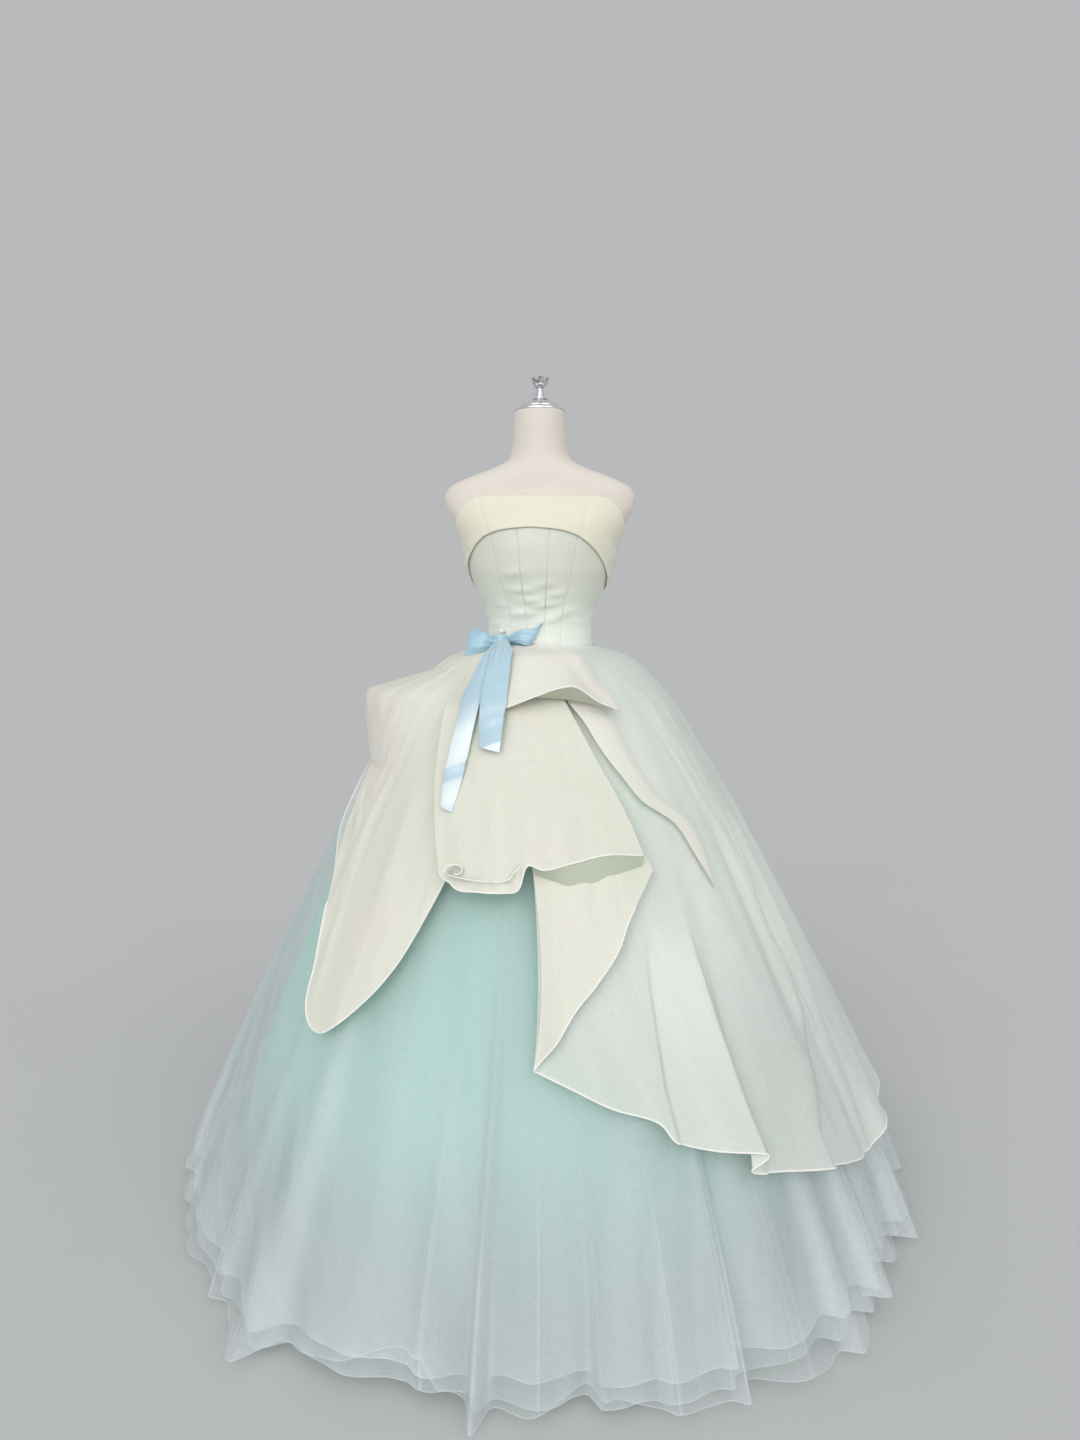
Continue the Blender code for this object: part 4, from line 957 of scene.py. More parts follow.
# ---------------------------------------------------------------- overskirt
# A long panel of ivory organza covers the right side, and two plain panels go on round the back, all
# gathered into the waist. The cloth is crisp and a little sheer, and its free edges are rolled hems.
PANEL_LIFT, PANEL_LIFT_LENGTH = 0.0065, 0.040
EDGE_LIFT_POWER = 2.5
SKIRT_SEAM = 0.0008
PANEL_ROWS_FINE, PANEL_ROW_POWER = 72, 1.35  # the rows are closer together at the waist
LINE_STEPS = 12  # steps between two points of a drawn line
PLEATS_ROUND, PLEAT_REACH, PLEAT_FADE = 120, 0.0003, 0.22  # the fine gathers under the waist seam
RIB_COLUMNS, BACK_RIB_COLUMNS = 12, 8  # columns from rib to rib
HEM_RADIUS, ROLL_RADIUS = 0.0016, 0.0012
DOUBLED_COVER = 0.92
STRIP_EDGE_DEG, TUCK_EDGE_DEG = 1.2, 1.5
UNDERSIDE_OFF, UNDERSIDE_COVER, UNDERSIDE_ROWS = 0.010, 0.95, 9
PAINTED_SHADE_FROM, PAINTED_SHADE_OVER = 0.66, 0.34  # painted shade: the single organza is painted greyer below this height, over this much
HEM_SIDES = 8
# degrees, height, how far the organza is puffed out, then how far the puff spreads: to lower and to
# higher degrees, up and down in metres, and how round its peak is
PUFFS = [
    (-82.0, 0.968, 0.098, (14.0, 40.0), (0.034, 0.128), 0.04),
    (2.0, 0.800, 0.016, (52.0, 52.0), (0.260, 0.260), 0.60),
]
# A rib runs from the waist to a panel's edge, through one point between.
# waist degrees, middle degrees, middle height, edge degrees, edge height, edge stands out
RIGHT_PANEL_RIBS = [
    (-9.0, -1.5, 0.700, -1.0, 0.428, 0.002), (-2.0, 5.0, 0.700, 4.5, 0.408, 0.009),
    (5.0, 10.5, 0.700, 10.5, 0.381, 0.008), (12.0, 15.0, 0.700, 16.5, 0.361, 0.004),
    (19.0, 19.0, 0.700, 18.5, 0.338, 0.014), (26.0, 24.0, 0.690, 23.5, 0.319, 0.012),
    (33.0, 30.0, 0.680, 30.0, 0.308, 0.024), (38.0, 34.0, 0.670, 28.0, 0.285, 0.012),
    (43.0, 38.5, 0.660, 34.5, 0.268, 0.012), (50.0, 45.0, 0.650, 40.5, 0.256, 0.018),
    (57.0, 51.0, 0.640, 45.0, 0.238, 0.008), (64.0, 58.0, 0.630, 51.5, 0.213, 0.016),
    (71.0, 66.0, 0.620, 57.5, 0.197, 0.006), (77.0, 74.0, 0.610, 64.0, 0.208, 0.022),
    (82.0, 80.0, 0.600, 74.0, 0.190, 0.010), (87.0, 86.0, 0.600, 83.0, 0.175, 0.022),
]
BACK_HEM = 0.135
BACK_RIB_STEP = 9.5
BACK_FLAT, BACK_FLUTE = 0.004, 0.019
BACK_MIDDLE = 0.600
BACK_LEAN = 6.0
BACK_RISE_POWER = 2.2
LEFT_BACK_END, LEFT_BACK_HEM = 254.0, 0.560
# A pressed fold: how far it stands out, how wide it is on its soft side (before it in degrees) and on
# its sharp side, then its line as (degrees, height) points from the top down.
RIGHT_FOLDS = [
    (0.0100, 0.045, 0.004, [(56.0, 0.780), (55.0, 0.660), (54.0, 0.570), (54.5, 0.499), (55.0, 0.430)]),
    (0.0120, 0.050, 0.004, [(29.5, 0.640), (29.2, 0.560), (29.0, 0.484), (29.5, 0.356), (30.0, 0.306)]),
    (0.0080, 0.028, 0.004, [(20.5, 0.640), (18.5, 0.526), (18.0, 0.402), (18.5, 0.336)]),
    (0.0100, 0.040, 0.004, [(55.0, 0.520), (51.0, 0.432), (45.0, 0.355), (40.5, 0.304), (40.5, 0.250)]),
    (0.0038, 0.030, 0.018, [(44.0, 0.930), (49.0, 0.820), (53.0, 0.720), (56.0, 0.640)]),
    (0.0045, 0.030, 0.014, [(70.0, 0.900), (67.0, 0.740), (63.0, 0.560), (58.0, 0.380), (56.0, 0.220)]),
    (0.0030, 0.028, 0.018, [(34.0, 0.900), (37.0, 0.780), (39.0, 0.660), (40.0, 0.540)]),
]
# strips of doubled cloth, which let less of the mint through: the two lines that bound each
RIGHT_DOUBLED = [
    ([(21.0, 0.640), (18.5, 0.526), (18.5, 0.300)], [(29.5, 0.640), (29.0, 0.484), (30.5, 0.300)]),
    (
        [(56.0, 0.800), (54.0, 0.570), (52.0, 0.440), (40.5, 0.304), (40.0, 0.200)],
        [(95.0, 0.800), (95.0, 0.100)],
    ),
    ([(41.0, 1.000), (46.0, 0.850), (48.0, 0.760)], [(50.0, 1.000), (54.0, 0.850), (57.0, 0.760)]),
]


def puffed(degrees, height):
    """How far the organza is puffed out here: tents whose peaks are eased by the root of a square sum."""
    out = np.zeros(np.broadcast(degrees, height).shape)
    for centre, level, reach, (before, after), (above, below), roundness in PUFFS:
        turned, risen = degrees - centre, height - level
        across = turned / np.where(turned < 0, before, after)
        along = risen / np.where(risen > 0, above, below)
        tents = [np.clip(1 + roundness - np.hypot(part, roundness), 0, None) for part in (across, along)]
        out += reach * tents[0] * tents[1]
    return out


def panel_point(degrees, height, stack, extra):
    """A point on organza that is this high in the stack of panels, over the tulle's crests."""
    below = np.clip(WAIST - height, 0, None)
    risen = ease(below / PANEL_LIFT_LENGTH)
    tulle = 2 * (LAYER_PITCH + LAYER_SPREAD * growth(height))
    pitch = LAYER_PITCH + PANEL_LIFT * risen
    out = tulle + crest_reach(degrees) * growth(height) + (stack + 1) * pitch + extra
    puff = risen * puffed(degrees, height)
    return skirt_point(degrees, height, out) + level_way(degrees) * puff[..., None]


def through(rows, each):
    """Smooth rows through the given ones, this many steps apart: Catmull and Rom's cubic."""
    rows = np.array(rows, float)
    at = np.linspace(0, len(rows) - 1, (len(rows) - 1) * each + 1)
    i = np.clip(at.astype(int), 0, len(rows) - 2)
    s = (at - i).reshape((-1,) + (1,) * (rows.ndim - 1))
    before, after = rows[np.maximum(i - 1, 0)], rows[np.minimum(i + 2, len(rows) - 1)]
    here, following = rows[i], rows[i + 1]
    return 0.5 * (
        2 * here
        + (following - before) * s
        + (2 * before - 5 * here + 4 * following - after) * s**2
        + (3 * here - before - 3 * following + after) * s**3
    )


def rib_grid(ribs, columns_each=RIB_COLUMNS):
    """Angles, heights, edge lifts and ways down on a grid: cubics across the ribs, a parabola down each."""
    waist_deg, middle_deg, middle_height, edge_deg, edge_height, edge_out = through(ribs, columns_each).T
    length = WAIST - edge_height
    down = np.linspace(0, 1, PANEL_ROWS_FINE)[:, None] ** PANEL_ROW_POWER
    middle_at = np.clip((WAIST - middle_height) / length, 0.10, 0.75)
    bent = down ** (np.log(0.5) / np.log(middle_at))
    degrees = (
        waist_deg * (1 - bent) * (1 - 2 * bent)
        + middle_deg * 4 * bent * (1 - bent)
        + edge_deg * bent * (2 * bent - 1)
    )
    return degrees, WAIST - length * down, edge_out * down**EDGE_LIFT_POWER, down


def line_grid(left, right, lift, columns):
    """The same between two drawn lines of (degrees, height), straight across, lifted at the left one."""
    down = np.linspace(0, 1, PANEL_ROWS_FINE)[:, None]
    way = np.linspace(0, 1, columns)[None, :]
    drawn = []
    for line in (left, right):
        smooth = through(line, LINE_STEPS)
        at = np.linspace(0, 1, len(smooth))
        drawn.append([np.interp(down, at, column) for column in smooth.T])
    degrees, heights = (between(a, b, way) for a, b in zip(*drawn))
    return degrees, heights, lift * (1 - way) * ease(down / 0.3), down


def line_degrees(line, height):
    """The angle of a drawn line at this height, straight between its points."""
    angles, heights = np.array(line[::-1]).T
    return np.interp(height, heights, angles)


def pressed(folds, degrees, height):
    """Ridges along drawn lines, wide on one side and sharp on the other, that fade in at their tops."""
    made = np.zeros(degrees.shape)
    for reach, soft, sharp, line in folds:
        top, foot = line[0][1], line[-1][1]
        across = np.radians(degrees - line_degrees(line, height)) * read(SKIRT_SECTIONS, 1, height)
        faded = ease((top - height) / (0.45 * (top - foot))) * ease((height - foot + 0.05) / 0.05)
        made += reach * faded * bell(across, np.where(across < 0, soft, sharp))
    return made


def within(degrees, left, right, soft):
    """1 between two angles and 0 outside them: the product of a smooth step this wide at each."""
    return ease((degrees - left) / soft + 0.5) * ease((right - degrees) / soft + 0.5)


def doubled(strips, degrees, height):
    """From 0 to 1 where a strip between two drawn lines is doubled, with soft edges."""
    made = np.zeros(degrees.shape)
    for left, right in strips:
        edges = (line_degrees(line, height) for line in (left, right))
        inside = within(degrees, *edges, STRIP_EDGE_DEG)
        highest = max(left[0][1], right[0][1])
        made = np.maximum(made, inside * ease((highest - height) / 0.10))
    return made


def crumpled(degrees, height, reach, seed):
    """Small uneven creases of crisp cloth: folded sines, so that their ridges are sharp."""
    first = uneven_waves(degrees, height, 31, 1.5, seed)
    second = uneven_waves(degrees * 0.7 + 90 * height, height, 43, 1.2, seed + 1)
    return reach * (0.5 - np.abs(first)) * (0.6 + 0.4 * second)


def face_way(points):
    """The direction that cloth faces: the cross product of its steps across and down."""
    return np.cross(np.gradient(points, axis=1), np.gradient(points, axis=0))


def rolled_hem(name, path, out_along, radius):
    """A rolled edge in hem thread: a small circle carried along the path, and drawn in at its ends."""
    ahead = np.gradient(path, axis=0)
    ahead /= np.linalg.norm(ahead, axis=1, keepdims=True)
    out = out_along - ahead * (out_along * ahead).sum(axis=1, keepdims=True)
    out /= np.linalg.norm(out, axis=1, keepdims=True)
    beside = np.cross(ahead, out)
    turn = np.linspace(0, 2 * np.pi, HEM_SIDES, endpoint=False)
    ends = np.full(len(path), radius)
    ends[[0, -1]] = radius / 20
    round_points = ends[:, None, None] * (
        np.cos(turn)[None, :, None] * out[:, None] + np.sin(turn)[None, :, None] * beside[:, None]
    )
    return make_piece(name, path[:, None] + round_points, hem_thread, ring=True)


def organza_panel(name, grid, stack, coat, cover, seed, folds=(), strips=(), crumple=0.0022,
                  hems=(("foot", 0, 1),), seams=(), fades=(), tuck=None, rolls=(), under=None, more=()):
    """A panel over its grid, with pressed folds, crumples and doubled strips, and its rolled hems.

    Hems run along an edge from one share of it to another. A fade thins an edge above a height, over
    a share of the panel's width. Below a tuck's line the cloth is set back. Rolls are its own turned
    edges along drawn lines, and an underside hangs from the foot, between two shares of it, to a line
    on the cloth behind.
    """
    degrees, heights, extra, down = grid
    lie = ease(down / 0.25)
    extra = extra + pressed(folds, degrees, heights)
    extra = extra + crumpled(degrees, heights, crumple, seed) * lie
    gathers = uneven_waves(degrees, heights, PLEATS_ROUND, 0.6, seed + 9)
    extra = extra + PLEAT_REACH * (1 + gathers) * bell(down, PLEAT_FADE) * ease(down / 0.02)
    if tuck:
        line, depth = tuck
        turned, level = np.array(line).T
        inside = within(degrees, turned[0], turned[-1], TUCK_EDGE_DEG)
        extra = extra - depth * inside * ease((np.interp(degrees, turned, level) - heights) / 0.008)
    points = panel_point(degrees, heights, stack, extra)
    around = level_way(degrees + 90) * SKIRT_SEAM / 2
    if "left" in seams:
        points[:, 0] += around[:, 0]
    if "right" in seams:
        points[:, -1] -= around[:, -1]
    hidden = between(cover, DOUBLED_COVER, doubled(strips, degrees, heights))
    hidden = hidden * (0.96 + 0.04 * uneven_waves(degrees, heights, 7, 3.0, seed + 5))
    along = np.linspace(0, 1, points.shape[1])[None, :]
    for edge, above, share in fades:
        from_edge = along if edge == "left" else 1 - along
        hidden = hidden * (1 - (1 - ease(from_edge / share)) * ease((heights - above) / 0.03))
    piece = make_piece(
        f"{name}_organza", points, coat, [name],
        values={"cover": hidden, "painted_light_below": ease((PAINTED_SHADE_FROM - heights) / PAINTED_SHADE_OVER)},
    )
    normal = face_way(points)
    trims = list(more)
    for edge, start, end in hems:
        at = {"foot": np.s_[-1, :], "left": np.s_[:, 0], "right": np.s_[:, -1]}[edge]
        path = points[at]
        part = slice(round(start * (len(path) - 1)), round(end * (len(path) - 1)) + 1)
        trims.append(rolled_hem(f"{name}_hem_{edge}", path[part], normal[at][part], HEM_RADIUS))
    for k, (line, lift) in enumerate(rolls, 1):
        turned, level = through(line, 8).T
        path = panel_point(turned, level, stack, lift)
        forward = np.broadcast_to((0.0, -1.0, 0.0), path.shape)
        trims.append(rolled_hem(f"{name}_roll_{k}", path, forward, ROLL_RADIUS))
    if under:
        start, end, line, behind = under
        wide = points.shape[1] - 1
        hem = points[-1, round(start * wide):round(end * wide) + 1]
        places = through(line, LINE_STEPS)
        shares = np.linspace(0, 1, len(hem)) * (len(places) - 1)
        turned, level = (np.interp(shares, np.arange(len(places)), column) for column in places.T)
        foot = panel_point(turned, level, behind, UNDERSIDE_OFF)
        strip = between(hem, foot, np.linspace(0, 1, UNDERSIDE_ROWS)[:, None, None])
        # painted shade: the underside is cut in organza painted darker and greener
        trims.append(make_piece(
            f"{name}_underside", strip, painted_shade_organza, values={"cover": UNDERSIDE_COVER}
        ))
    return piece


def organza(name, colour, painted_light_below=None):
    """Crisp sheer weave of this colour, painted towards a second, greyer one further down as painted shade,
    with a faint sheen and crumples.
    """
    made, tree, shader = sheer(
        name, colour, 0.48, 0.0016, 0.05, Sheen_Weight=0.2, Sheen_Roughness=0.35, Specular_IOR_Level=0.3
    )
    mottled(tree, shader, colour, 4.5, 0.006, drift=(0.968, 1.008, 0.978))
    if painted_light_below:
        tinted(tree, shader, "painted_light_below", painted_light_below)
    woven(tree, shader, 0.0005, 0.03, crumple=0.26, crumple_scale=5.0)
    return made


# painted shade: the single organza is painted greyer towards the bottom
single_organza = organza("single_organza", dyed(234, 239, 231), dyed(217, 223, 216))
petal_organza = organza("petal_organza", dyed(231, 230, 216))
# painted light: the flounce and the facing use a paler copy of the petals' organza
flounce_organza = organza("flounce_organza", dyed(240, 238, 226))
# painted shade: the undersides' organza is a darker copy of the petals' organza
painted_shade_organza = organza("painted_shade_organza", dyed(198, 205, 184))
thread_white = dyed(252, 250, 243)
hem_thread, thread_tree, thread_shader = new_material(
    "hem_thread", thread_white, 0.55, Sheen_Weight=0.2
)
mottled(thread_tree, thread_shader, thread_white, 200.0, 0.03)
twist_where = add_node(thread_tree, "ShaderNodeUVMap").outputs["UV"]
twist = add_node(thread_tree, "ShaderNodeTexWave", Vector=twist_where, Scale=260.0)
twist.bands_direction = "DIAGONAL"
bumped(thread_tree, thread_shader, twist.outputs["Fac"], 0.4, 0.0003)

organza_panel(
    "overskirt_right", rib_grid(RIGHT_PANEL_RIBS), 0, single_organza, folds=RIGHT_FOLDS,
    strips=RIGHT_DOUBLED, cover=0.80, seams=("right",), seed=2,
)
side_deg, side_hem = RIGHT_PANEL_RIBS[-1][0], RIGHT_PANEL_RIBS[-1][4]
right_back_ribs = [RIGHT_PANEL_RIBS[-1]]
rib_degrees = np.linspace(side_deg, 180.0, round((180.0 - side_deg) / BACK_RIB_STEP) + 1)
for k, deg in enumerate(rib_degrees[1:], 1):
    hem = between(side_hem, BACK_HEM, k / (len(rib_degrees) - 1))
    right_back_ribs.append((deg, deg, BACK_MIDDLE, deg, hem, BACK_FLAT + BACK_FLUTE * (k % 2)))
left_back_ribs = []
rib_degrees = np.linspace(180.0, LEFT_BACK_END, round((LEFT_BACK_END - 180.0) / BACK_RIB_STEP) + 1)
for k, deg in enumerate(rib_degrees):
    way = k / (len(rib_degrees) - 1)
    hem = between(BACK_HEM, LEFT_BACK_HEM, way**BACK_RISE_POWER)
    lean = BACK_LEAN * way
    flute = BACK_FLAT + BACK_FLUTE * (k % 2)
    left_back_ribs.append((deg, deg - lean / 3, (WAIST + hem) / 2, deg - lean, hem, flute))
BACK_FOLD = (0.0100, 0.034, 0.012)  # how far each stands out, and its widths
RIGHT_BACK_FOLDS = [
    (*BACK_FOLD, [(deg + 1.5, 0.98), (deg + 1.0, 0.80), (deg, 0.45), (deg - 1.0, 0.15)])
    for deg in (101.0, 114.0, 130.0, 147.0, 166.0)
]
LEFT_BACK_FOLDS = [
    (*BACK_FOLD, [(deg + 2.0, 0.98), (deg + 1.5, 0.85), (deg, 0.60), (deg - 2.0, 0.25)])
    for deg in (191.0, 206.0, 222.0, 237.0)
]
organza_panel(
    "overskirt_back_right", rib_grid(right_back_ribs, BACK_RIB_COLUMNS), 0,
    single_organza, cover=0.74, folds=RIGHT_BACK_FOLDS, seams=("left", "right"), seed=4,
)
organza_panel(
    "overskirt_back_left", rib_grid(left_back_ribs, BACK_RIB_COLUMNS), 0,
    single_organza, cover=0.74, folds=LEFT_BACK_FOLDS, hems=(("foot", 0, 1), ("right", 0.1, 1)),
    seams=("left",), seed=6,
)

# ---------------------------------------------------------------- left petal
# The petal at the left is caught up at the waist in a high puff and falls to a rounded point. It is
# doubled: its sheer back layer reaches from the waist round past its outer edge, and both are hemmed.
LEFT_PETAL_RIBS = [
    (-92.0, -90.0, 1.000, -89.0, 0.950, 0.000), (-86.0, -88.0, 0.970, -86.0, 0.885, 0.000),
    (-80.0, -81.0, 0.940, -72.0, 0.828, 0.004), (-75.0, -74.0, 0.910, -65.5, 0.775, 0.006),
    (-70.0, -68.0, 0.880, -61.0, 0.705, 0.008), (-65.0, -62.0, 0.850, -54.0, 0.615, 0.010),
    (-60.5, -56.0, 0.810, -48.0, 0.520, 0.012), (-56.5, -51.5, 0.780, -44.5, 0.455, 0.014),
    (-52.5, -46.5, 0.770, -38.0, 0.440, 0.014), (-48.5, -41.0, 0.790, -32.0, 0.485, 0.014),
    (-44.5, -35.5, 0.820, -26.5, 0.555, 0.014), (-41.0, -31.0, 0.860, -22.5, 0.640, 0.010),
    (-37.0, -27.0, 0.900, -19.0, 0.720, 0.006),
]
LEFT_PETAL_FOLDS = [
    (0.0040, 0.022, 0.012, [(-62.0, 1.045), (-64.0, 1.000), (-68.0, 0.955)]),
    (0.0040, 0.022, 0.012, [(-54.0, 1.045), (-56.0, 0.990), (-60.0, 0.930)]),
    (0.0040, 0.030, 0.012, [(-52.0, 0.900), (-52.0, 0.760), (-47.0, 0.600), (-44.0, 0.500)]),
    (0.0035, 0.026, 0.014, [(-38.0, 0.880), (-36.0, 0.760), (-33.0, 0.640)]),
    (0.0035, 0.018, 0.008, [(-66.0, 0.800), (-60.0, 0.760), (-55.0, 0.730)]),
]
# the back layer's hem and where it goes in behind the petal, as (degrees, height)
BEHIND_HEM = [
    (-110.0, 1.055), (-110.0, 1.020), (-109.0, 0.970), (-107.0, 0.920), (-102.0, 0.875), (-94.0, 0.838),
    (-87.0, 0.812), (-81.5, 0.785), (-78.5, 0.755), (-76.0, 0.728), (-72.5, 0.706), (-68.5, 0.690),
    (-63.0, 0.666), (-58.0, 0.635),
]
BEHIND_INNER = [
    (-70.0, 1.055), (-70.0, 1.020), (-70.0, 0.980), (-69.5, 0.940), (-68.5, 0.900), (-67.0, 0.870),
    (-65.0, 0.845), (-63.0, 0.815), (-61.0, 0.780), (-59.0, 0.745), (-57.0, 0.712), (-55.5, 0.690),
    (-54.0, 0.660), (-52.0, 0.630),
]
BEHIND_STACK, BEHIND_COVER, BEHIND_COLUMNS = -0.4, 0.62, 28
behind_degrees, behind_heights, _, _ = line_grid(BEHIND_HEM, BEHIND_INNER, 0.0, BEHIND_COLUMNS)
behind_points = panel_point(behind_degrees, behind_heights, BEHIND_STACK, 0.0)
behind_outward = face_way(behind_points)
behind = [
    make_piece(
        "petal_left_behind", behind_points, single_organza, values={"cover": BEHIND_COVER}
    ),
    rolled_hem("petal_left_behind_hem", behind_points[:, 0], behind_outward[:, 0], HEM_RADIUS),
]
organza_panel(
    "petal_left", rib_grid(LEFT_PETAL_RIBS, 14), 0, petal_organza,
    folds=LEFT_PETAL_FOLDS, cover=0.92, crumple=0.0026, hems=(("foot", 0.42, 1),), more=behind, seed=12,
)

# ---------------------------------------------------------------- cascade
# A narrow cascade hangs from under the centre petal. Its left edge falls straight, and its right edge
# is a rolled hem that climbs in a long curve.
CASCADE_RIBS = [
    (-14.0, -1.5, 0.700, -1.0, 0.432, 0.004), (-10.0, 2.5, 0.720, 2.5, 0.472, 0.014),
    (-6.0, 7.0, 0.740, 6.5, 0.522, 0.020), (-2.0, 11.5, 0.760, 12.5, 0.580, 0.025),
    (2.0, 15.5, 0.780, 17.0, 0.640, 0.026), (5.0, 18.5, 0.790, 24.0, 0.700, 0.016),
]
CASCADE_FOLDS = [
    (0.0070, 0.022, 0.012, [(3.5, 0.780), (3.0, 0.640), (2.5, 0.520), (2.5, 0.470)]),
    (0.0060, 0.024, 0.012, [(9.0, 0.780), (8.5, 0.660), (8.0, 0.560)]),
    (0.0050, 0.020, 0.012, [(14.5, 0.780), (14.0, 0.700), (13.5, 0.620)]),
]
organza_panel(
    "cascade", rib_grid(CASCADE_RIBS, 20), 1, petal_organza, folds=CASCADE_FOLDS,
    cover=0.90, crumple=0.0012, hems=(("foot", 0, 0.84),), seed=15,
)

# ---------------------------------------------------------------- facing
# The front edge of the overskirt turns back in a long narrow facing that runs from the waist down
# the right side and tapers to a point.
FACING_LEFT = [
    (0.0, 1.044), (4.0, 1.008), (7.5, 0.975), (11.0, 0.949), (14.5, 0.926), (18.5, 0.884), (22.5, 0.845),
    (26.5, 0.803), (31.0, 0.780), (34.5, 0.757), (36.5, 0.715), (37.8, 0.683), (39.0, 0.656),
]
FACING_RIGHT = [
    (26.0, 1.044), (28.0, 1.008), (29.5, 0.975), (29.8, 0.949), (30.2, 0.920), (30.8, 0.884), (31.8, 0.845),
    (34.5, 0.809), (38.5, 0.782), (41.5, 0.757), (42.0, 0.715), (41.2, 0.683), (39.8, 0.655),
]
organza_panel(
    "facing_right", line_grid(FACING_LEFT, FACING_RIGHT, 0.007, 60), 1,
    flounce_organza, cover=0.91, crumple=0.0010, hems=(), fades=(("right", 0.0, 0.55),), seed=18,
)

# ---------------------------------------------------------------- centre petal
# The centre petal puffs out over the cascade. Its broad hem stands off in a shallow wave and curls
# under at the left corner.
CENTRE_PETAL_RIBS = [
    (-43.0, -31.5, 0.875, -21.0, 0.700, 0.018), (-38.0, -25.0, 0.870, -16.5, 0.677, 0.030),
    (-33.0, -18.5, 0.870, -11.5, 0.677, 0.036), (-28.0, -13.0, 0.880, -7.0, 0.679, 0.034),
    (-23.0, -8.5, 0.885, -4.2, 0.682, 0.028), (-18.5, -5.5, 0.890, -2.6, 0.716, 0.020),
    (-14.0, -1.5, 0.890, 1.0, 0.712, 0.028), (-10.0, 5.0, 0.890, 6.5, 0.722, 0.030),
    (-6.0, 10.5, 0.887, 13.5, 0.733, 0.034), (-2.0, 15.0, 0.885, 21.5, 0.727, 0.028),
]
CENTRE_PETAL_FOLDS = [
    (0.0060, 0.030, 0.014, [(-16.0, 0.960), (-11.0, 0.840), (-8.0, 0.740), (-6.5, 0.690)]),
    (0.0045, 0.026, 0.012, [(2.0, 0.940), (4.5, 0.840), (6.0, 0.760)]),
    (0.0040, 0.020, 0.014, [(12.0, 0.860), (9.0, 0.810), (4.0, 0.770)]),
    (0.0040, 0.022, 0.012, [(-27.0, 0.900), (-20.0, 0.800), (-15.0, 0.710)]),
]
# lines as (degrees, height): the upper roll of the turned corner, and the underside's foot; then how
# far the roll stands off, and how deep the cloth is set back under it
PETAL_ROLL = [(-19.0, 0.702), (-13.5, 0.696), (-8.5, 0.696), (-6.0, 0.700), (-5.0, 0.710), (-3.8, 0.720)]
PETAL_UNDERSIDE = [
    (-1.0, 0.702), (1.5, 0.694), (4.5, 0.685), (7.5, 0.681), (13.0, 0.683), (18.5, 0.692), (21.5, 0.700),
]
PETAL_ROLL_OFF, PETAL_TUCK = 0.036, 0.012
# The corner is rolled up: a spiral round an axis that points out and up, drawn in as it turns.
SCROLL_AT, SCROLL_AXIS = (-17.0, 0.706), np.array([0.08, -0.966, 0.244])
SCROLL_HALF_WIDTH, SCROLL_HALF_HEIGHT, SCROLL_LENGTH, SCROLL_OFF = 0.0195, 0.0140, 0.016, 0.030
SCROLL_FROM_DEG, SCROLL_TO_DEG, SCROLL_DRAWN_IN, SCROLL_STEPS = 205.0, -110.0, 0.38, 60
turn = np.radians(np.linspace(SCROLL_FROM_DEG, SCROLL_TO_DEG, SCROLL_STEPS))
shrink = np.linspace(1.0, SCROLL_DRAWN_IN, SCROLL_STEPS)
beside = np.cross((0.0, 0.0, 1.0), -SCROLL_AXIS)
rising = np.cross(-SCROLL_AXIS, beside)
spiral = (SCROLL_HALF_WIDTH * shrink * np.cos(turn))[:, None] * -beside
spiral = spiral + (SCROLL_HALF_HEIGHT * shrink * np.sin(turn))[:, None] * rising
spiral = spiral + panel_point(*np.array(SCROLL_AT), 2, SCROLL_OFF)
depths = np.linspace(0, SCROLL_LENGTH, 8)[:, None, None]
scroll_points = spiral[None] + depths * SCROLL_AXIS
scroll = [
    make_piece("petal_centre_scroll", scroll_points, petal_organza, values={"cover": 0.92}),
    rolled_hem(
        "petal_centre_scroll_hem", scroll_points[-1], np.broadcast_to(SCROLL_AXIS, spiral.shape),
        ROLL_RADIUS,
    ),
]
organza_panel(
    "petal_centre", rib_grid(CENTRE_PETAL_RIBS, 14), 2, petal_organza,
    folds=CENTRE_PETAL_FOLDS, cover=0.92, crumple=0.0016, fades=(("left", 0.935, 0.16),),
    tuck=(PETAL_ROLL, PETAL_TUCK), rolls=((PETAL_ROLL, PETAL_ROLL_OFF),),
    under=(0.60, 1.0, PETAL_UNDERSIDE, 1), more=scroll, seed=21,
)

# ---------------------------------------------------------------- flounce
# A short flounce springs from the waist beside the bow. Its free edge stands well off the petal
# below, so that its underside shows, in real shade and in painted shade.
FLOUNCE_RIBS = [
    (-30.0, -22.0, 1.000, -15.5, 0.938, 0.004), (-21.0, -15.0, 1.008, -9.5, 0.944, 0.010),
    (-11.0, -7.0, 1.012, -2.0, 0.951, 0.028), (-3.0, 2.0, 1.015, 5.0, 0.957, 0.042),
    (5.0, 9.5, 1.015, 11.5, 0.959, 0.040), (13.0, 16.0, 1.008, 18.5, 0.945, 0.026),
    (20.0, 24.0, 0.985, 26.5, 0.937, 0.008),
]
FLOUNCE_UNDERSIDE = [
    (-4.0, 0.958), (2.0, 0.957), (8.5, 0.955), (15.5, 0.950), (20.5, 0.944), (24.0, 0.939),
]
organza_panel(
    "flounce", rib_grid(FLOUNCE_RIBS, 16), 3, flounce_organza, cover=0.95,
    crumple=0.0010, hems=(("foot", 0.1, 1),), fades=(("right", 0.95, 0.16), ("left", 0.96, 0.16)),
    under=(0.28, 0.96, FLOUNCE_UNDERSIDE, 2), seed=24,
)

